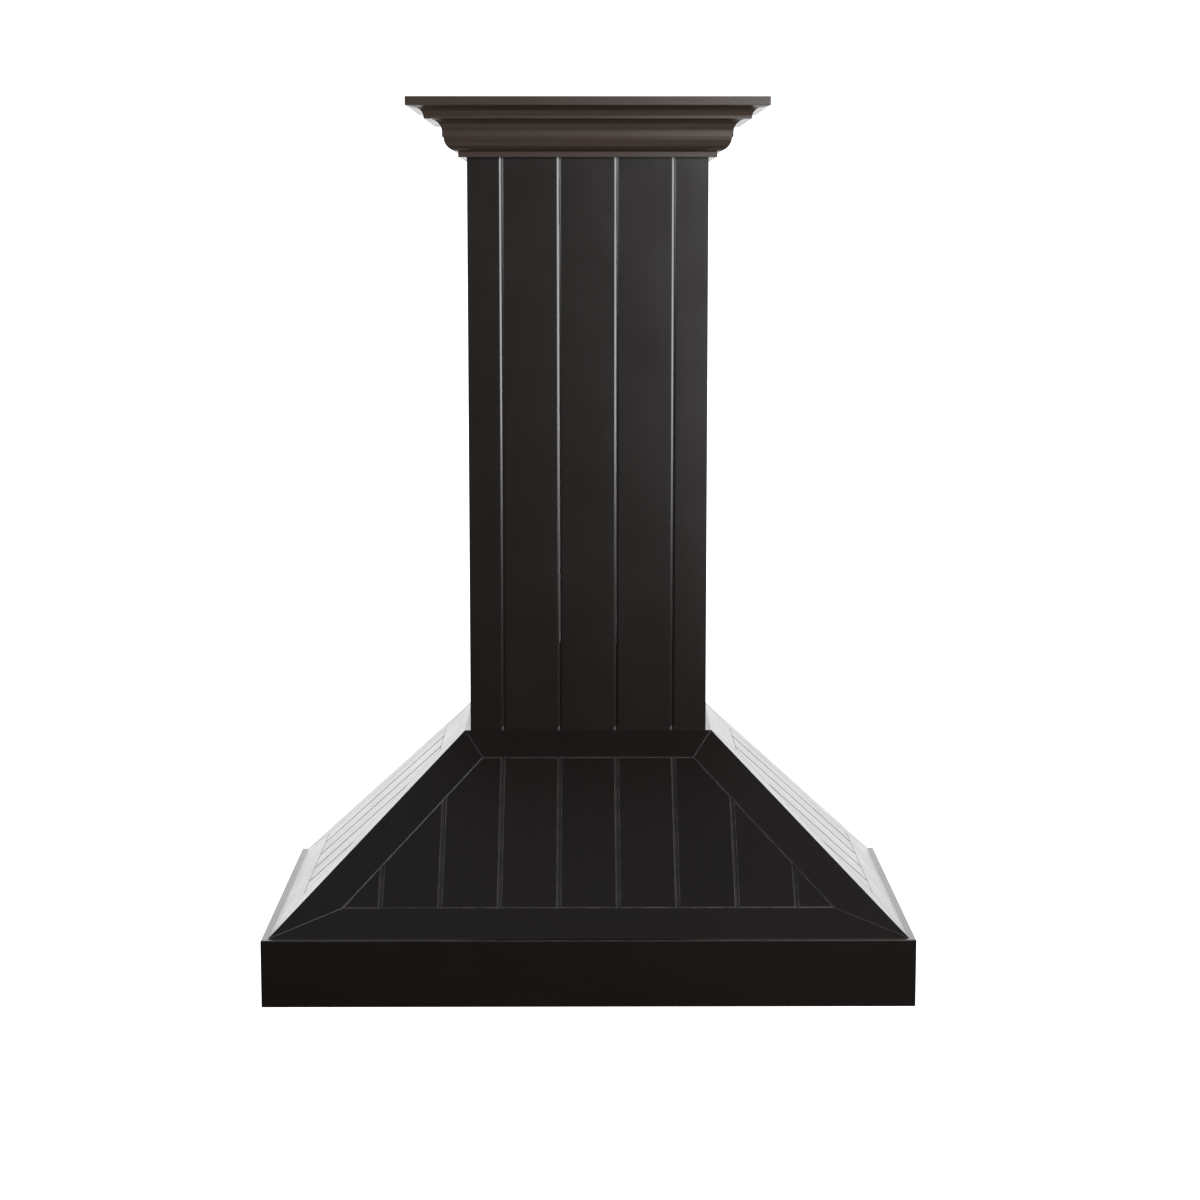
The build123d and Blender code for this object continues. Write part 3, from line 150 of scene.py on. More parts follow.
class LacquerLook(bpy.types.PropertyGroup):
    """The black-brown lacquer of the boards."""

    colour: FloatVectorProperty(
        name="Lacquer", description="Colour of the lacquer", subtype="COLOR", size=3,
        min=0.0, max=1.0, default=linear("#161210"),
    )
    # Pale colour on the eased edges: a sanded-thin film, and a painted highlight for the glints
    # these edges catch
    rub_and_glint_colour: FloatVectorProperty(
        name="Rubbed edges", description="Colour where the film is sanded thin along an edge",
        subtype="COLOR", size=3, min=0.0, max=1.0, default=linear("#5e5955"),
    )
    roughness: FloatProperty(
        name="Roughness", description="Roughness of the satin film", subtype="FACTOR",
        min=0.0, max=1.0, default=0.24,
    )
    # The crown's colour is lighter than the boards' lacquer: painted light that brightens its coves
    moulding_lit_colour: FloatVectorProperty(
        name="Moulding", description="Colour of the lacquer on the crown", subtype="COLOR", size=3,
        min=0.0, max=1.0, default=linear("#3c2f28"),
    )
    moulding_roughness: FloatProperty(
        name="Moulding roughness", description="Roughness of the film on the crown",
        subtype="FACTOR", min=0.0, max=1.0, default=0.3,
    )
    grain_width: FloatProperty(
        name="Grain width", description="Width of a streak of grain under the film", unit="LENGTH",
        subtype="DISTANCE", default=0.0028,
    )
    grain_length: FloatProperty(
        name="Grain length", description="Length of a streak of grain", unit="LENGTH",
        subtype="DISTANCE", default=0.21,
    )
    ease: FloatProperty(
        name="Eased edge", description="Width of the sanded edge of a board", unit="LENGTH",
        subtype="DISTANCE", default=0.0004,
    )
    side_ease: FloatProperty(
        name="Eased side joint", description="Width of the sanded edge at the canopy's side joints",
        unit="LENGTH", subtype="DISTANCE", default=0.0008,
    )


class TimberLook(bpy.types.PropertyGroup):
    """The bare timber inside the hood."""

    early_colour: FloatVectorProperty(
        name="Early wood", description="Colour of the pale rings", subtype="COLOR", size=3,
        min=0.0, max=1.0, default=linear("#cfae7c"),
    )
    late_colour: FloatVectorProperty(
        name="Late wood", description="Colour of the dark rings", subtype="COLOR", size=3,
        min=0.0, max=1.0, default=linear("#a9804c"),
    )
    ring_width: FloatProperty(
        name="Ring width", description="Width of one year's ring", unit="LENGTH",
        subtype="DISTANCE", default=0.008,
    )
    ease: FloatProperty(
        name="Eased edge", description="Width of the planed edge", unit="LENGTH",
        subtype="DISTANCE", default=0.0008,
    )


class SteelLook(bpy.types.PropertyGroup):
    """The stainless and galvanised sheet."""

    stainless_colour: FloatVectorProperty(
        name="Stainless", description="Colour of the stainless sheet", subtype="COLOR", size=3,
        min=0.0, max=1.0, default=linear("#c9c8c4"),
    )
    zinc_colour: FloatVectorProperty(
        name="Zinc", description="Colour of the galvanised sheet", subtype="COLOR", size=3,
        min=0.0, max=1.0, default=linear("#b3b8ba"),
    )
    brush_width: FloatProperty(
        name="Brush mark", description="Width of a brush mark as drawn", unit="LENGTH",
        subtype="DISTANCE", default=0.0007,
    )
    spangle: FloatProperty(
        name="Spangle", description="Width of a zinc crystal", unit="LENGTH",
        subtype="DISTANCE", default=0.012,
    )
    ease: FloatProperty(
        name="Eased edge", description="Width of the deburred edge", unit="LENGTH",
        subtype="DISTANCE", default=0.0003,
    )
    screw_head: FloatProperty(
        name="Screw head", description="Width of a screw's flange", unit="LENGTH",
        subtype="DISTANCE", default=0.0095,
    )
    screw_rise: FloatProperty(
        name="Screw rise", description="Height of a screw's head", unit="LENGTH",
        subtype="DISTANCE", default=0.0032,
    )


class ControlLook(bpy.types.PropertyGroup):
    """The lamps, the buttons and the small plastic parts."""

    lens_colour: FloatVectorProperty(
        name="Lens", description="Colour of the frosted lens", subtype="COLOR", size=3,
        min=0.0, max=1.0, default=linear("#eef0ea"),
    )
    plastic_colour: FloatVectorProperty(
        name="Plastic", description="Colour of the moulded plastic", subtype="COLOR", size=3,
        min=0.0, max=1.0, default=linear("#17181a"),
    )
    button_colour: FloatVectorProperty(
        name="Buttons", description="Colour of the plated buttons", subtype="COLOR", size=3,
        min=0.0, max=1.0, default=linear("#d3d3d1"),
    )
    motor_colour: FloatVectorProperty(
        name="Motor", description="Colour of the motor's paint", subtype="COLOR", size=3,
        min=0.0, max=1.0, default=linear("#2a2c2f"),
    )
    button_edge: FloatProperty(
        name="Button edge", description="Rounding of a button's edge", unit="LENGTH",
        subtype="DISTANCE", default=0.0009,
    )


class StudioLook(bpy.types.PropertyGroup):
    """The camera, the floor and the lights."""

    camera_place: FloatVectorProperty(
        name="Camera", description="Where the camera stands", subtype="XYZ", unit="LENGTH", size=3,
        default=(-0.00673, -4.1365, 0.8565),
    )
    camera_tilt: FloatProperty(
        name="Tilt", description="Camera's tilt from straight down", subtype="ANGLE",
        unit="ROTATION", default=math.radians(82.08),
    )
    camera_turn: FloatProperty(
        name="Turn", description="Camera's turn about the upright", subtype="ANGLE",
        unit="ROTATION", default=math.radians(-0.361),
    )
    lens: FloatProperty(
        name="Lens", description="Focal length on a 36 mm sensor", unit="CAMERA", default=79.21,
    )
    floor_height: FloatProperty(
        name="Floor", description="Height of the floor in the hood's frame", unit="LENGTH",
        subtype="DISTANCE", default=-3.4,
    )
    floor_reach: FloatProperty(
        name="Floor reach", description="Radius at which the floor has faded out", unit="LENGTH",
        subtype="DISTANCE", default=4.6,
    )
    floor_colour: FloatVectorProperty(
        name="Floor colour", description="Colour of the floor", subtype="COLOR", size=3,
        min=0.0, max=1.0, default=linear("#dcd9d5"),
    )
    backdrop: FloatProperty(
        name="Backdrop", description="Brightness of the white behind the hood", min=0.0,
        default=1.8,
    )


def node(tree, kind, inputs, **settings):
    """Add a node with its settings, and set or link its inputs."""
    made = tree.nodes.new(kind)
    for name, value in settings.items():
        setattr(made, name, value)
    for socket, value in inputs.items():
        if isinstance(value, bpy.types.NodeSocket):
            tree.links.new(value, made.inputs[socket])
        else:
            made.inputs[socket].default_value = value
    return made


def new_material(name):
    """A new material and its tree, which is empty."""
    material = bpy.data.materials.new(name)
    material.use_nodes = True
    tree = material.node_tree
    tree.nodes.clear()
    return material, tree


def rgba(colour):
    """A colour with full alpha."""
    return (*colour, 1.0)


# Satin lacquer sprayed over close-grained boards. The film is even and almost hides the wood:
# long faint streaks show in the gloss, and each board differs a little from the next. The crown's
# moulding can't be flatted like a board, so its film is duller; its colour is lighter and browner
# than the boards', a painted light that brightens its coves.
def satin_lacquer(name, turn, colour, roughness):
    look = bpy.context.scene.hood_lacquer
    material, tree = new_material(name)
    place = node(tree, "ShaderNodeTexCoord", {})
    streak = (look.grain_width, look.grain_width, look.grain_length)
    along = node(
        tree, "ShaderNodeMapping",
        {"Vector": place.outputs["Object"], "Rotation": turn, "Scale": streak},
        vector_type="TEXTURE",
    )
    grain = node(
        tree, "ShaderNodeTexNoise",
        {"Vector": along.outputs[0], "Scale": 1.0, "Detail": 4.0, "Roughness": 0.6},
    )
    # The spray lies in wide clouds
    cloud = node(
        tree, "ShaderNodeTexNoise",
        {"Vector": place.outputs["Object"], "Scale": 1 / SPRAY_CLOUD, "Detail": 2.0},
    )
    pores = node(
        tree, "ShaderNodeMapRange",
        {"Value": grain.outputs[0], "From Min": 0.42, "From Max": 0.66},
    )
    film = node(
        tree, "ShaderNodeMix",
        {0: pores.outputs[0], 6: rgba(colour), 7: rgba([PORE_TONE * part for part in colour])},
        data_type="RGBA",
    )
    board = node(tree, "ShaderNodeAttribute", {}, attribute_name="board_shade")
    shade = node(
        tree, "ShaderNodeMapRange",
        {"Value": board.outputs["Fac"], "To Min": 0.9, "To Max": 1.1},
    )
    tint = node(
        tree, "ShaderNodeHueSaturation", {"Color": film.outputs[2], "Value": shade.outputs[0]}
    )
    # Sanding between coats leaves the film thin along the edges, in broken lengths, and their pale
    # colour is also a painted highlight for the glints that the eased edges catch
    edge = node(tree, "ShaderNodeAttribute", {}, attribute_name="eased_edge")
    breaks = node(
        tree, "ShaderNodeTexNoise",
        {"Vector": place.outputs["Object"], "Scale": 1 / RUB_LENGTH, "Detail": 2.0},
    )
    length = node(
        tree, "ShaderNodeMapRange",
        {"Value": breaks.outputs[0], "From Min": 0.4, "From Max": 0.6, "To Min": 0.3},
    )
    rub_and_glint = node(
        tree, "ShaderNodeMath", {0: edge.outputs["Fac"], 1: length.outputs[0]},
        operation="MULTIPLY",
    )
    worn_and_glinting = node(
        tree, "ShaderNodeMix",
        {0: rub_and_glint.outputs[0], 6: tint.outputs[0], 7: rgba(look.rub_and_glint_colour)},
        data_type="RGBA",
    )
    uneven = node(
        tree, "ShaderNodeMath",
        {0: grain.outputs[0], 1: cloud.outputs[0]},
        operation="ADD",
    )
    gloss = node(
        tree, "ShaderNodeMapRange",
        {
            "Value": uneven.outputs[0], "From Min": 0.7, "From Max": 1.3,
            "To Min": roughness - GLOSS_SPREAD, "To Max": roughness + GLOSS_SPREAD,
        },
    )
    # The sanding leaves the film dull too, over the whole chamfer of a joint
    joint = node(tree, "ShaderNodeAttribute", {}, attribute_name="sanded_joint")
    sanded = node(
        tree, "ShaderNodeMath",
        {0: joint.outputs["Fac"], 1: SANDED_DULLNESS, 2: gloss.outputs[0]},
        operation="MULTIPLY_ADD",
    )
    relief = node(
        tree, "ShaderNodeBump",
        {"Height": grain.outputs[0], "Strength": 0.12, "Distance": 0.0001},
    )
    surface = node(
        tree, "ShaderNodeBsdfPrincipled",
        {
            "Base Color": worn_and_glinting.outputs[2], "Roughness": sanded.outputs[0], "IOR": 1.5,
            "Normal": relief.outputs[0],
        },
    )
    node(tree, "ShaderNodeOutputMaterial", {"Surface": surface.outputs[0]})
    return material


# Fast-grown softwood, planed and left bare: wide bands of pale early wood and darker late wood
# along each board.
def planed_softwood(name, turn):
    look = bpy.context.scene.hood_timber
    material, tree = new_material(name)
    place = node(tree, "ShaderNodeTexCoord", {})
    along = node(
        tree, "ShaderNodeMapping",
        {
            "Vector": place.outputs["Object"], "Rotation": turn,
            "Scale": (look.ring_width, look.ring_width, look.ring_width * RING_STRETCH),
        },
        vector_type="TEXTURE",
    )
    bend = node(
        tree, "ShaderNodeTexNoise",
        {"Vector": along.outputs[0], "Scale": 0.36, "Detail": 2.0},
    )
    # A wave of scale 1 repeats every pi / 10, so this gives one band to a ring
    rings = node(
        tree, "ShaderNodeTexWave",
        {
            "Vector": along.outputs[0], "Scale": math.pi / 10, "Distortion": 2.4, "Detail": 1.0,
            "Detail Scale": 0.5,
        },
        bands_direction="X", wave_profile="SAW",
    )
    fibre = node(
        tree, "ShaderNodeTexNoise",
        {"Vector": along.outputs[0], "Scale": 8.0, "Detail": 3.0},
    )
    mixed = node(
        tree, "ShaderNodeMath",
        {0: rings.outputs[1], 1: bend.outputs[0]},
        operation="MULTIPLY",
    )
    wood = node(
        tree, "ShaderNodeMix",
        {0: mixed.outputs[0], 6: rgba(look.early_colour), 7: rgba(look.late_colour)},
        data_type="RGBA",
    )
    board = node(tree, "ShaderNodeAttribute", {}, attribute_name="board_shade")
    shade = node(
        tree, "ShaderNodeMapRange",
        {"Value": board.outputs["Fac"], "To Min": 0.86, "To Max": 1.06},
    )
    tint = node(
        tree, "ShaderNodeHueSaturation", {"Color": wood.outputs[2], "Value": shade.outputs[0]}
    )
    gloss = node(
        tree, "ShaderNodeMapRange",
        {
            "Value": fibre.outputs[0], "From Min": 0.3, "From Max": 0.7,
            "To Min": 0.52, "To Max": 0.68,
        },
    )
    relief = node(
        tree, "ShaderNodeBump",
        {"Height": fibre.outputs[0], "Strength": 0.3, "Distance": 0.0003},
    )
    surface = node(
        tree, "ShaderNodeBsdfPrincipled",
        {
            "Base Color": tint.outputs[0], "Roughness": gloss.outputs[0], "IOR": 1.52,
            "Normal": relief.outputs[0],
        },
    )
    node(tree, "ShaderNodeOutputMaterial", {"Surface": surface.outputs[0]})
    return material


# Stainless sheet, brushed one way on a belt: fine straight streaks that smear the highlights.
# Real marks are about 0.1 mm wide, so they are drawn at 0.7 mm to show.
def brushed_stainless(name, turn):
    look = bpy.context.scene.hood_steel
    material, tree = new_material(name)
    place = node(tree, "ShaderNodeTexCoord", {})
    along = node(
        tree, "ShaderNodeMapping",
        {
            "Vector": place.outputs["Object"], "Rotation": turn,
            "Scale": (look.brush_width, look.brush_width, look.brush_width * BRUSH_STRETCH),
        },
        vector_type="TEXTURE",
    )
    brush = node(
        tree, "ShaderNodeTexNoise",
        {"Vector": along.outputs[0], "Scale": 1.0, "Detail": 3.0, "Roughness": 0.7},
    )
    sheen = node(
        tree, "ShaderNodeMapRange",
        {"Value": brush.outputs[0], "From Min": 0.3, "From Max": 0.7, "To Min": 0.92},
    )
    tint = node(
        tree, "ShaderNodeHueSaturation",
        {"Color": rgba(look.stainless_colour), "Value": sheen.outputs[0]},
    )
    gloss = node(
        tree, "ShaderNodeMapRange",
        {
            "Value": brush.outputs[0], "From Min": 0.3, "From Max": 0.7,
            "To Min": 0.24, "To Max": 0.38,
        },
    )
    relief = node(
        tree, "ShaderNodeBump",
        {"Height": brush.outputs[0], "Strength": 0.18, "Distance": 0.0001},
    )
    surface = node(
        tree, "ShaderNodeBsdfPrincipled",
        {
            "Base Color": tint.outputs[0], "Metallic": 1.0, "Roughness": gloss.outputs[0],
            "Normal": relief.outputs[0],
        },
    )
    node(tree, "ShaderNodeOutputMaterial", {"Surface": surface.outputs[0]})
    return material


# Hot-dip galvanised sheet: zinc crystals of about a centimetre, each with its own grey and gloss.
def galvanised_sheet(name):
    look = bpy.context.scene.hood_steel
    material, tree = new_material(name)
    place = node(tree, "ShaderNodeTexCoord", {})
    bent = node(
        tree, "ShaderNodeTexNoise",
        {"Vector": place.outputs["Object"], "Scale": 1 / look.spangle, "Detail": 1.0},
    )
    shifted = node(
        tree, "ShaderNodeVectorMath",
        {0: bent.outputs[1], 1: (look.spangle * SPANGLE_BEND,) * 3, 2: place.outputs["Object"]},
        operation="MULTIPLY_ADD",
    )
    crystal = node(
        tree, "ShaderNodeTexVoronoi",
        {"Vector": shifted.outputs[0], "Scale": 1 / look.spangle},
    )
    grey = node(
        tree, "ShaderNodeMapRange",
        {"Value": crystal.outputs["Color"], "To Min": 0.72},
    )
    tint = node(
        tree, "ShaderNodeHueSaturation",
        {"Color": rgba(look.zinc_colour), "Value": grey.outputs[0]},
    )
    gloss = node(
        tree, "ShaderNodeMapRange",
        {"Value": crystal.outputs["Color"], "To Min": 0.34, "To Max": 0.5},
    )
    surface = node(
        tree, "ShaderNodeBsdfPrincipled",
        {"Base Color": tint.outputs[0], "Metallic": 1.0, "Roughness": gloss.outputs[0]},
    )
    node(tree, "ShaderNodeOutputMaterial", {"Surface": surface.outputs[0]})
    return material


# Spring steel, rolled bright and left with a thin oil film: darker than stainless, with faint
# clouds.
def bright_spring_steel(name):
    material, tree = new_material(name)
    place = node(tree, "ShaderNodeTexCoord", {})
    cloud = node(
        tree, "ShaderNodeTexNoise",
        {"Vector": place.outputs["Object"], "Scale": 1 / OIL_CLOUD, "Detail": 3.0},
    )
    tint = node(
        tree, "ShaderNodeMix",
        {0: cloud.outputs[0], 6: rgba(linear("#8d9094")), 7: rgba(linear("#a7a9ac"))},
        data_type="RGBA",
    )
    gloss = node(
        tree, "ShaderNodeMapRange",
        {
            "Value": cloud.outputs[0], "From Min": 0.3, "From Max": 0.7,
            "To Min": 0.16, "To Max": 0.28,
        },
    )
    surface = node(
        tree, "ShaderNodeBsdfPrincipled",
        {"Base Color": tint.outputs[2], "Metallic": 1.0, "Roughness": gloss.outputs[0]},
    )
    node(tree, "ShaderNodeOutputMaterial", {"Surface": surface.outputs[0]})
    return material


# Satin chrome over zinc castings: an even blasted grain under a bright plate. Real grain is about
# 0.1 mm, so it is drawn at 0.4 mm to show.
def satin_chrome(name):
    look = bpy.context.scene.hood_controls
    material, tree = new_material(name)
    place = node(tree, "ShaderNodeTexCoord", {})
    blast = node(
        tree, "ShaderNodeTexNoise",
        {"Vector": place.outputs["Object"], "Scale": 1 / BLAST_GRAIN, "Detail": 2.0},
    )
    gloss = node(
        tree, "ShaderNodeMapRange",
        {
            "Value": blast.outputs[0], "From Min": 0.3, "From Max": 0.7,
            "To Min": 0.18, "To Max": 0.26,
        },
    )
    relief = node(
        tree, "ShaderNodeBump",
        {"Height": blast.outputs[0], "Strength": 0.1, "Distance": 0.00005},
    )
    surface = node(
        tree, "ShaderNodeBsdfPrincipled",
        {
            "Base Color": rgba(look.button_colour), "Metallic": 1.0, "Roughness": gloss.outputs[0],
            "Normal": relief.outputs[0],
        },
    )
    node(tree, "ShaderNodeOutputMaterial", {"Surface": surface.outputs[0]})
    return material


# Moulded ABS with a spark-eroded texture: matt black with a fine grit. Real grit is about 0.2 mm,
# so it is drawn at 0.6 mm to show.
def textured_abs(name):
    look = bpy.context.scene.hood_controls
    material, tree = new_material(name)
    place = node(tree, "ShaderNodeTexCoord", {})
    grit = node(
        tree, "ShaderNodeTexNoise",
        {"Vector": place.outputs["Object"], "Scale": 1 / PLASTIC_GRIT, "Detail": 2.0},
    )
    gloss = node(
        tree, "ShaderNodeMapRange",
        {
            "Value": grit.outputs[0], "From Min": 0.3, "From Max": 0.7,
            "To Min": 0.42, "To Max": 0.58,
        },
    )
    relief = node(
        tree, "ShaderNodeBump",
        {"Height": grit.outputs[0], "Strength": 0.35, "Distance": 0.0001},
    )
    surface = node(
        tree, "ShaderNodeBsdfPrincipled",
        {
            "Base Color": rgba(look.plastic_colour), "Roughness": gloss.outputs[0], "IOR": 1.54,
            "Normal": relief.outputs[0],
        },
    )
    node(tree, "ShaderNodeOutputMaterial", {"Surface": surface.outputs[0]})
    return material


# Frosted acrylic, moulded with a grain of fine prisms that scatters the light: milky, with soft
# highlights.
def frosted_acrylic(name):
    look = bpy.context.scene.hood_controls
    material, tree = new_material(name)
    place = node(tree, "ShaderNodeTexCoord", {})
    frost = node(
        tree, "ShaderNodeTexVoronoi",
        {"Vector": place.outputs["Object"], "Scale": 1 / LENS_PRISM},
    )
    gloss = node(
        tree, "ShaderNodeMapRange",
        {"Value": frost.outputs[0], "From Max": 0.8, "To Min": 0.28, "To Max": 0.42},
    )
    relief = node(
        tree, "ShaderNodeBump",
        {"Height": frost.outputs[0], "Strength": 0.25, "Distance": 0.0002},
    )
    surface = node(
        tree, "ShaderNodeBsdfPrincipled",
        {
            "Base Color": rgba(look.lens_colour), "Roughness": gloss.outputs[0], "IOR": 1.49,
            "Transmission Weight": 0.2, "Normal": relief.outputs[0],
        },
    )
    node(tree, "ShaderNodeOutputMaterial", {"Surface": surface.outputs[0]})
    return material


# Stoved paint on the motor's shell: semi-gloss, with the shallow orange peel of a sprayed coat.
def stoved_paint(name):
    look = bpy.context.scene.hood_controls
    material, tree = new_material(name)
    place = node(tree, "ShaderNodeTexCoord", {})
    peel = node(
        tree, "ShaderNodeTexNoise",
        {"Vector": place.outputs["Object"], "Scale": 1 / ORANGE_PEEL, "Detail": 1.0},
    )
    gloss = node(
        tree, "ShaderNodeMapRange",
        {
            "Value": peel.outputs[0], "From Min": 0.3, "From Max": 0.7,
            "To Min": 0.3, "To Max": 0.4,
        },
    )
    relief = node(
        tree, "ShaderNodeBump",
        {"Height": peel.outputs[0], "Strength": 0.25, "Distance": 0.0002},
    )
    surface = node(
        tree, "ShaderNodeBsdfPrincipled",
        {
            "Base Color": rgba(look.motor_colour), "Roughness": gloss.outputs[0], "IOR": 1.5,
            "Normal": relief.outputs[0],
        },
    )
    node(tree, "ShaderNodeOutputMaterial", {"Surface": surface.outputs[0]})
    return material


# Moulded rubber: dull black with a grey bloom in patches.
def moulded_rubber(name):
    material, tree = new_material(name)
    place = node(tree, "ShaderNodeTexCoord", {})
    bloom = node(
        tree, "ShaderNodeTexNoise",
        {"Vector": place.outputs["Object"], "Scale": 1 / RUBBER_BLOOM, "Detail": 3.0},
    )
    tint = node(
        tree, "ShaderNodeMix",
        {0: bloom.outputs[0], 6: rgba(linear("#141414")), 7: rgba(linear("#262524"))},
        data_type="RGBA",
    )
    gloss = node(
        tree, "ShaderNodeMapRange",
        {
            "Value": bloom.outputs[0], "From Min": 0.3, "From Max": 0.7,
            "To Min": 0.6, "To Max": 0.78,
        },
    )
    surface = node(
        tree, "ShaderNodeBsdfPrincipled",
        {"Base Color": tint.outputs[2], "Roughness": gloss.outputs[0], "IOR": 1.5},
    )
    node(tree, "ShaderNodeOutputMaterial", {"Surface": surface.outputs[0]})
    return material


# Matt paint rolled on a plain floor: pale and even, with no gloss. It fades out into the white
# round it before its rim shows.
def matt_floor_paint(name, centre):
    look = bpy.context.scene.hood_studio
    material, tree = new_material(name)
    place = node(tree, "ShaderNodeTexCoord", {})
    away = node(
        tree, "ShaderNodeVectorMath", {0: place.outputs["Object"], 1: centre},
        operation="DISTANCE",
    )
    fade = node(
        tree, "ShaderNodeMapRange",
        {
            "Value": away.outputs["Value"], "From Min": FLOOR_FADE[0] * look.floor_reach,
            "From Max": FLOOR_FADE[1] * look.floor_reach,
        },
        interpolation_type="SMOOTHSTEP",
    )
    matt = node(
        tree, "ShaderNodeBsdfPrincipled",
        {"Base Color": rgba(look.floor_colour), "Roughness": 0.6},
    )
    clear = node(tree, "ShaderNodeBsdfTransparent", {})
    surface = node(
        tree, "ShaderNodeMixShader",
        {0: fade.outputs[0], 1: matt.outputs[0], 2: clear.outputs[0]},
    )
    node(tree, "ShaderNodeOutputMaterial", {"Surface": surface.outputs[0]})
    return material


def eased_copy(name, ease, segments=2, rub_and_glint=0.0):
    """A CAD node's mesh, merged, with its flat faces whole, its corners eased, and those eased
    faces marked for a thin sanded film and a painted glint.
    """
    mesh = bmesh.new()
    mesh.from_mesh(NODES[name].data)
    bmesh.ops.remove_doubles(mesh, verts=mesh.verts, dist=MERGE_GAP)
    bmesh.ops.dissolve_limit(mesh, angle_limit=FLAT_ANGLE, verts=mesh.verts, edges=mesh.edges)
    rub_and_glint_layer = mesh.faces.layers.float.new("eased_edge")
    sanded = mesh.faces.layers.float.new("sanded_joint")
    for face in mesh.faces:
        if face.calc_area() < CHAMFER_WIDTH * max(edge.calc_length() for edge in face.edges):
            face[sanded] = rub_and_glint
    corners = [edge for edge in mesh.edges if edge.calc_face_angle(0.0) > CORNER_ANGLE]
    eased = bmesh.ops.bevel(
        mesh, geom=corners, offset=ease, offset_type="OFFSET", segments=segments, profile=0.5,
        affect="EDGES", clamp_overlap=True, material=-1,
    )
    # The eased faces carry the pale edge colour: a sanded film and a painted highlight for their
    # glints
    for face in eased["faces"]:
        face[rub_and_glint_layer] = face[sanded] = rub_and_glint
    bmesh.ops.dissolve_degenerate(mesh, dist=MERGE_GAP, edges=mesh.edges)
    return mesh


def boards_of(mesh):
    """The separate boards of a mesh, each as a list of its faces."""
    boards = []
    for face in mesh.faces:
        face.tag = False
    for first in mesh.faces:
        if first.tag:
            continue
        first.tag = True
        board = [first]
        for face in board:
            for edge in face.edges:
                for other in edge.link_faces:
                    if not other.tag:
                        other.tag = True
                        board.append(other)
        boards.append(board)
    return boards


def longest_way(board):
    """The axis, 0 to 2, that a board is longest along."""
    places = [vert.co for face in board for vert in face.verts]
    spans = [max(p[axis] for p in places) - min(p[axis] for p in places) for axis in range(3)]
    return spans.index(max(spans))


def grain_each_board(mesh, ways):
    """Give each board the coat for its longest way, and a shade of its own."""
    shade = mesh.faces.layers.float.new("board_shade")
    for count, board in enumerate(boards_of(mesh)):
        coat = ways[longest_way(board)]
        for face in board:
            face.material_index = coat
            face[shade] = (count * SHADE_STEP + FIRST_SHADE) % 1.0


def add_piece(name, mesh, coats, body, replaced=None):
    """Make a finished mesh an object on its body, in the place of a CAD node if one is named."""
    data = bpy.data.meshes.new(name)
    mesh.to_mesh(data)
    mesh.free()
    for face in data.polygons:
        face.use_smooth = True
    data.set_sharp_from_angle(angle=SHARP_ANGLE)
    for coat in coats:
        data.materials.append(coat)
    piece = bpy.data.objects.new(name, data)
    bpy.context.scene.collection.objects.link(piece)
    piece.modifiers.new("flat_faces_stay_flat", "WEIGHTED_NORMAL").keep_sharp = True
    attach(piece, body)
    if replaced:
        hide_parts(replaced)


def replace_node(name, mesh, coats):
    """Put a finished mesh in the place of its CAD node."""
    add_piece(name + "_finished", mesh, coats, BODY_OF[name], name)


def finish_node(name, coat, ease, segments=2):
    """Replace a CAD node by its eased copy in one coat."""
    replace_node(name, eased_copy(name, ease, segments), [coat])


def finish_boards(name, coats, ease, rub_and_glint=0.0, ways=(0, 0, 0)):
    """Replace a node of boards; ways says which coat one that is longest along X, Y or Z gets."""
    mesh = eased_copy(name, ease, rub_and_glint=rub_and_glint)
    grain_each_board(mesh, ways)
    replace_node(name, mesh, coats)


def coat_node(name, coat):
    """Keep a CAD node's own mesh and give it a coat."""
    for slot in NODES[name].material_slots:
        slot.material = coat


class WALL_HOOD_OT_wooden_shell(bpy.types.Operator):
    """Finish the lacquered boards of the apron, canopy, chimney and crown"""

    bl_idname = "wall_hood.wooden_shell"
    bl_label = "Wooden shell"

    def execute(self, context):
        look = context.scene.hood_lacquer
        film = (look.colour, look.roughness)
        # The crown's film: duller, and lighter in colour as painted light for its coves
        dull_lit_film = (look.moulding_lit_colour, look.moulding_roughness)
        front_low, front_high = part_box("canopy_front_boards")
        side_low, side_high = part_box("canopy_right_boards")
        front_lean = math.atan2(front_high[1] - front_low[1], front_high[2] - front_low[2])
        side_lean = math.atan2(side_high[0] - side_low[0], side_high[2] - side_low[2])
        upright = satin_lacquer("satin_lacquer_upright", UPRIGHT, *film)
        runs = {
            "front": (ACROSS, (-front_lean, 0.0, 0.0)),
            "left": (INTO_WALL, (0.0, side_lean, 0.0)),
            "right": (INTO_WALL, (0.0, -side_lean, 0.0)),
        }
        for side, (run, slope) in runs.items():
            level = satin_lacquer(f"satin_lacquer_{side}_level", run, *film)
            sloped = satin_lacquer(f"satin_lacquer_{side}_slope", slope, *film)
            crown = satin_lacquer(f"satin_lacquer_{side}_crown", run, *dull_lit_film)
            # The canopy's and the apron's eased edges get the pale edge colour, partly a painted
            # highlight for their glints
            if side == "front":
                rails, ease, rub_and_glint = (0, 1, 1), look.ease, FRONT_RUB_AND_GLINT
            else:
                rails, ease, rub_and_glint = (1, 0, 1), look.side_ease, SIDE_RUB_AND_GLINT
            finish_boards(f"apron_{side}", [level], look.ease, APRON_RUB_AND_GLINT)
            finish_boards(f"canopy_{side}_frame", [level, sloped], ease, rub_and_glint, rails)
            finish_boards(f"canopy_{side}_boards", [sloped], ease, BOARD_RUB_AND_GLINT * rub_and_glint)
            finish_boards(f"chimney_{side}_boards", [upright], look.ease)
            finish_boards(f"crown_{side}", [crown], look.ease)
        level = bpy.data.materials["satin_lacquer_front_level"]
        finish_boards("apron_back_rail", [level], look.ease)
        return {"FINISHED"}


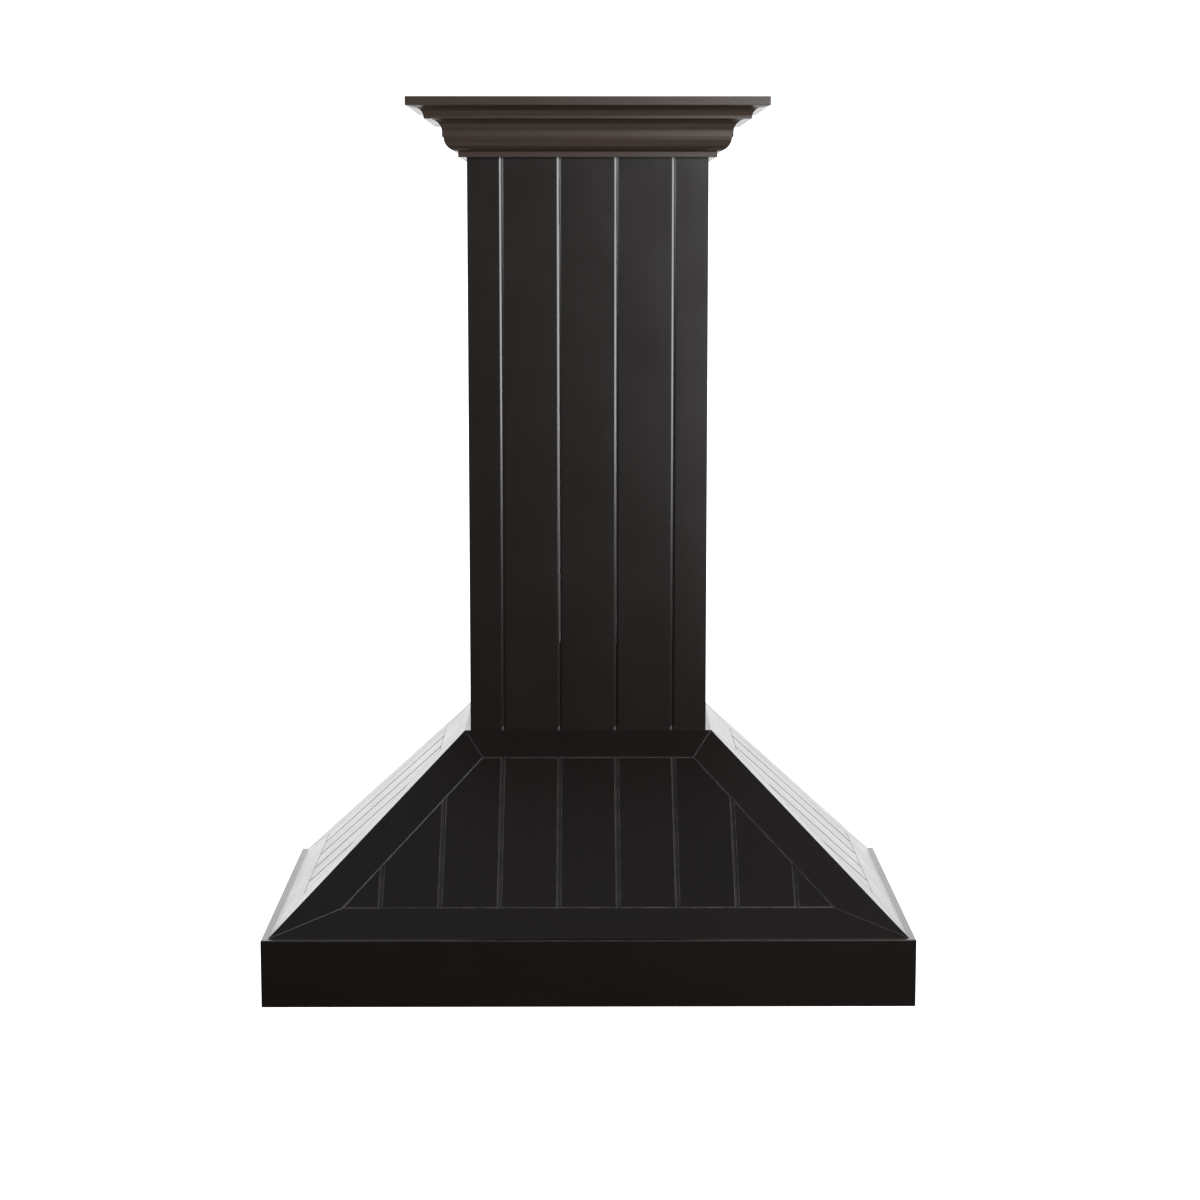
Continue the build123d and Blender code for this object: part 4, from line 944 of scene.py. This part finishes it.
class WALL_HOOD_OT_inner_timber(bpy.types.Operator):
    """Finish the bare rails, posts, blocks and cleats"""

    bl_idname = "wall_hood.inner_timber"
    bl_label = "Inner timber"

    def execute(self, context):
        ease = context.scene.hood_timber.ease
        coats = [
            planed_softwood("planed_softwood_level", ACROSS),
            planed_softwood("planed_softwood_inward", INTO_WALL),
            planed_softwood("planed_softwood_upright", UPRIGHT),
        ]
        for name in (
            "hanging_rail", "chimney_posts", "chimney_rails", "crown_blocks", "liner_cleats",
        ):
            finish_boards(name, coats, ease, ways=(0, 1, 2))
        return {"FINISHED"}


class WALL_HOOD_OT_steel_face(bpy.types.Operator):
    """Finish the steel strips under the hood"""

    bl_idname = "wall_hood.steel_face"
    bl_label = "Steel face"

    def execute(self, context):
        ease = context.scene.hood_steel.ease
        across = brushed_stainless("brushed_stainless_across", ACROSS)
        inward = brushed_stainless("brushed_stainless_inward", INTO_WALL)
        for name in ("liner_front_strip", "liner_back_strip"):
            finish_node(name, across, ease)
        for name in ("liner_side_strips", "liner_centre_bar"):
            finish_node(name, inward, ease)
        return {"FINISHED"}


class WALL_HOOD_OT_liner_screws(bpy.types.Operator):
    """Add the flanged hexagon screws that hold the steel face up"""

    bl_idname = "wall_hood.liner_screws"
    bl_label = "Liner screws"

    def execute(self, context):
        look = context.scene.hood_steel
        low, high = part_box("liner_cleats")
        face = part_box("liner_front_strip")[0][2]
        cleat = high[2] - low[2]
        rows = (low[1] + cleat / 2, high[1] - cleat / 2)
        pitch = (high[0] - low[0] - 2 * cleat) / (SCREWS_IN_ROW - 1)
        columns = [low[0] + cleat + count * pitch for count in range(SCREWS_IN_ROW)]
        mesh = bmesh.new()
        for x in columns:
            for y in rows:
                self.add_screw(mesh, Vector((x, y, face)), look.screw_head / 2, look.screw_rise)
        coat = brushed_stainless("bright_screw_steel", UPRIGHT)
        add_piece("liner_screw_heads", mesh, [coat], "hood")
        return {"FINISHED"}

    def add_screw(self, mesh, place, radius, rise):
        """One head below the face: a thin round flange and a hexagon with eased corners."""
        flange = bmesh.ops.create_cone(
            mesh, cap_ends=True, segments=24, radius1=radius * FLANGE_TAPER, radius2=radius,
            depth=rise * FLANGE_RISE,
        )
        middle = place - Vector((0, 0, rise * FLANGE_RISE / 2))
        bmesh.ops.translate(mesh, verts=flange["verts"], vec=middle)
        head = bmesh.ops.create_cone(
            mesh, cap_ends=True, segments=6, radius1=radius * HEXAGON, radius2=radius * HEXAGON,
            depth=rise,
        )
        middle = place - Vector((0, 0, rise / 2))
        bmesh.ops.translate(mesh, verts=head["verts"], vec=middle)
        lowest = {vert for vert in head["verts"] if vert.co.z < middle.z}
        rim = [edge for edge in mesh.edges if all(vert in lowest for vert in edge.verts)]
        bmesh.ops.bevel(
            mesh, geom=rim, offset=rise * HEXAGON_EASE, offset_type="OFFSET", segments=2,
            profile=0.5, affect="EDGES", clamp_overlap=True, material=-1,
        )


class WALL_HOOD_OT_filters(bpy.types.Operator):
    """Finish the two baffle filters, their handles and the rod they hang on"""

    bl_idname = "wall_hood.filters"
    bl_label = "Filters"

    def execute(self, context):
        ease = context.scene.hood_steel.ease
        across = bpy.data.materials["brushed_stainless_across"]
        inward = bpy.data.materials["brushed_stainless_inward"]
        for side in ("left", "right"):
            finish_node(f"filter_{side}_frame", across, ease)
            finish_node(f"filter_{side}_baffles", inward, ease * BAFFLE_EASE)
            finish_node(f"filter_{side}_handle", across, ease * HANDLE_EASE, segments=3)
        for name in ("filter_hinge_rod", "hinge_brackets"):
            finish_node(name, across, ease)
        spring = bright_spring_steel("bright_spring_steel")
        finish_node("filter_catches", spring, ease * CATCH_EASE)
        return {"FINISHED"}


class WALL_HOOD_OT_lamps(bpy.types.Operator):
    """Finish the two lamps"""

    bl_idname = "wall_hood.lamps"
    bl_label = "Lamps"

    def execute(self, context):
        ease = context.scene.hood_steel.ease
        finish_node("lamp_bezels", bpy.data.materials["brushed_stainless_across"], ease)
        finish_node("lamp_lenses", frosted_acrylic("frosted_acrylic"), ease)
        coat_node("lamp_cans", galvanised_sheet("galvanised_lamp_case"))
        return {"FINISHED"}


class WALL_HOOD_OT_push_buttons(bpy.types.Operator):
    """Finish the five push buttons, their bezel and the switch housing"""

    bl_idname = "wall_hood.push_buttons"
    bl_label = "Push buttons"

    def execute(self, context):
        look = context.scene.hood_controls
        chrome = satin_chrome("satin_chrome")
        plastic = textured_abs("textured_abs")
        for use in ("light", "low", "medium", "high", "stop"):
            finish_node(f"button_{use}", chrome, look.button_edge, segments=3)
        finish_node("control_bezel", plastic, BEZEL_EASE)
        coat_node("switch_housing", plastic)
        return {"FINISHED"}


class WALL_HOOD_OT_air_path(bpy.types.Operator):
    """Coat the plenum, the blower, the collar and the damper flaps"""

    bl_idname = "wall_hood.air_path"
    bl_label = "Air path"

    def execute(self, context):
        zinc = galvanised_sheet("galvanised_sheet")
        for name in (
            "plenum_front_panel", "plenum_back_panel", "plenum_side_panels", "plenum_top_plate",
            "blower_scroll", "blower_side_plates", "blower_wheel", "duct_collar",
            "damper_flap_front", "damper_flap_back",
        ):
            coat_node(name, zinc)
        finish_node("blower_motor", stoved_paint("stoved_motor_paint"), MOTOR_ROUNDING, segments=4)
        coat_node("motor_shaft", bpy.data.materials["bright_spring_steel"])
        return {"FINISHED"}


class WALL_HOOD_OT_wiring(bpy.types.Operator):
    """Finish the wiring box and its cable gland"""

    bl_idname = "wall_hood.wiring"
    bl_label = "Wiring"

    def execute(self, context):
        finish_node("wiring_box", bpy.data.materials["galvanised_sheet"], WIRING_BOX_EASE)
        finish_node("cable_gland", moulded_rubber("moulded_rubber"), GLAND_EASE)
        return {"FINISHED"}


class WALL_HOOD_OT_studio(bpy.types.Operator):
    """Set up the camera, the floor, the white surroundings and the soft boxes"""

    bl_idname = "wall_hood.studio"
    bl_label = "Studio"

    def execute(self, context):
        look = context.scene.hood_studio
        self.add_camera(context.scene, look)
        self.add_floor(look)
        self.add_surroundings(context.scene, look)
        for name, setting in SOFT_BOXES.items():
            self.add_soft_box(name, *setting)
        context.scene.view_settings.view_transform = "Standard"
        return {"FINISHED"}

    def add_camera(self, scene, look):
        """The camera that fits the photograph."""
        data = bpy.data.cameras.new("photo_camera")
        data.lens = look.lens
        data.sensor_width = 36.0
        camera = bpy.data.objects.new("photo_camera", data)
        camera.location = look.camera_place
        camera.rotation_euler = (look.camera_tilt, 0.0, look.camera_turn)
        scene.collection.objects.link(camera)
        scene.camera = camera

    def add_floor(self, look):
        """A pale floor, far enough below the hood to look up at it from."""
        centre = Vector((0.0, FLOOR_CENTRE_Y, look.floor_height))
        mesh = bmesh.new()
        bmesh.ops.create_circle(mesh, cap_ends=True, segments=64, radius=look.floor_reach)
        bmesh.ops.translate(mesh, verts=mesh.verts, vec=centre)
        data = bpy.data.meshes.new("floor")
        mesh.to_mesh(data)
        mesh.free()
        data.materials.append(matt_floor_paint("pale_floor", centre))
        floor = bpy.data.objects.new("floor", data)
        bpy.context.scene.collection.objects.link(floor)

    def add_surroundings(self, scene, look):
        """Grey in front and white behind, for the hood to mirror, and all white to the camera."""
        world = bpy.data.worlds.new("studio")
        world.use_nodes = True
        tree = world.node_tree
        tree.nodes.clear()
        way = node(tree, "ShaderNodeTexCoord", {})
        split = node(tree, "ShaderNodeSeparateXYZ", {"Vector": way.outputs["Generated"]})
        height = node(
            tree, "ShaderNodeMapRange",
            {"Value": split.outputs["Z"], "From Min": -1.0, "From Max": 1.0},
        )
        front = node(tree, "ShaderNodeValToRGB", {"Fac": height.outputs[0]})
        ramp = front.color_ramp
        while len(ramp.elements) < len(FRONT_STOPS):
            ramp.elements.new(0.5)
        for stop, (at, grey, warmth) in zip(ramp.elements, FRONT_STOPS):
            stop.position = at
            stop.color = ((1 + warmth) * grey, grey, (1 - warmth) * grey, 1.0)
        behind = node(
            tree, "ShaderNodeMapRange",
            {"Value": split.outputs["Y"], "From Min": 0.45, "From Max": 0.75},
            interpolation_type="SMOOTHSTEP",
        )
        white = rgba((look.backdrop, look.backdrop, look.backdrop))
        # Below the horizon the backdrop dims to the tone of the floor
        dims = node(
            tree, "ShaderNodeMapRange",
            {"Value": split.outputs["Z"], "From Min": -0.55, "From Max": -0.1, "To Min": 0.42},
            interpolation_type="SMOOTHSTEP",
        )
        backdrop = node(
            tree, "ShaderNodeMix", {0: dims.outputs[0], 6: (0.0, 0.0, 0.0, 1.0), 7: white},
            data_type="RGBA", clamp_result=False,
        )
        both = node(
            tree, "ShaderNodeMix",
            {0: behind.outputs[0], 6: front.outputs[0], 7: backdrop.outputs[2]},
            data_type="RGBA", clamp_result=False,
        )
        mirrored = node(tree, "ShaderNodeBackground", {"Color": both.outputs[2], "Strength": 1.0})
        seen = node(tree, "ShaderNodeBackground", {"Color": white, "Strength": 1.0})
        ray = node(tree, "ShaderNodeLightPath", {})
        sky = node(
            tree, "ShaderNodeMixShader",
            {0: ray.outputs["Is Camera Ray"], 1: mirrored.outputs[0], 2: seen.outputs[0]},
        )
        node(tree, "ShaderNodeOutputWorld", {"Surface": sky.outputs[0]})
        scene.world = world

    def add_soft_box(self, name, place, target, width, height, radiance):
        """A soft box that is turned to its target and hidden from the camera."""
        data = bpy.data.lights.new(name, "AREA")
        data.shape = "RECTANGLE"
        data.size = width
        data.size_y = height
        data.energy = radiance * math.pi * width * height
        light = bpy.data.objects.new(name, data)
        light.location = place
        light.rotation_euler = (Vector(target) - Vector(place)).to_track_quat("-Z", "Y").to_euler()
        light.visible_camera = False
        bpy.context.scene.collection.objects.link(light)


OPERATORS = (
    WALL_HOOD_OT_wooden_shell,
    WALL_HOOD_OT_inner_timber,
    WALL_HOOD_OT_steel_face,
    WALL_HOOD_OT_liner_screws,
    WALL_HOOD_OT_filters,
    WALL_HOOD_OT_lamps,
    WALL_HOOD_OT_push_buttons,
    WALL_HOOD_OT_air_path,
    WALL_HOOD_OT_wiring,
    WALL_HOOD_OT_studio,
)
LOOKS = {
    "hood_lacquer": LacquerLook,
    "hood_timber": TimberLook,
    "hood_steel": SteelLook,
    "hood_controls": ControlLook,
    "hood_studio": StudioLook,
}


class WALL_HOOD_PT_panel(bpy.types.Panel):
    """The hood's pieces and looks in the sidebar"""

    bl_idname = "WALL_HOOD_PT_panel"
    bl_label = "Wall hood"
    bl_space_type = "VIEW_3D"
    bl_region_type = "UI"
    bl_category = "Wall hood"

    def draw(self, context):
        for name, look in LOOKS.items():
            box = self.layout.box()
            for setting in look.__annotations__:
                box.prop(getattr(context.scene, name), setting)
        for operator in OPERATORS:
            self.layout.operator(operator.bl_idname)


def register():
    for name, look in LOOKS.items():
        bpy.utils.register_class(look)
        setattr(bpy.types.Scene, name, PointerProperty(type=look))
    for operator in OPERATORS:
        bpy.utils.register_class(operator)
    bpy.utils.register_class(WALL_HOOD_PT_panel)


def unregister():
    bpy.utils.unregister_class(WALL_HOOD_PT_panel)
    for operator in reversed(OPERATORS):
        bpy.utils.unregister_class(operator)
    for name, look in reversed(LOOKS.items()):
        delattr(bpy.types.Scene, name)
        bpy.utils.unregister_class(look)


def main():
    """Register the add-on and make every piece."""
    register()
    bpy.ops.wall_hood.wooden_shell()
    bpy.ops.wall_hood.inner_timber()
    bpy.ops.wall_hood.steel_face()
    bpy.ops.wall_hood.liner_screws()
    bpy.ops.wall_hood.filters()
    bpy.ops.wall_hood.lamps()
    bpy.ops.wall_hood.push_buttons()
    bpy.ops.wall_hood.air_path()
    bpy.ops.wall_hood.wiring()
    bpy.ops.wall_hood.studio()


if __name__ == "__main__":
    main()
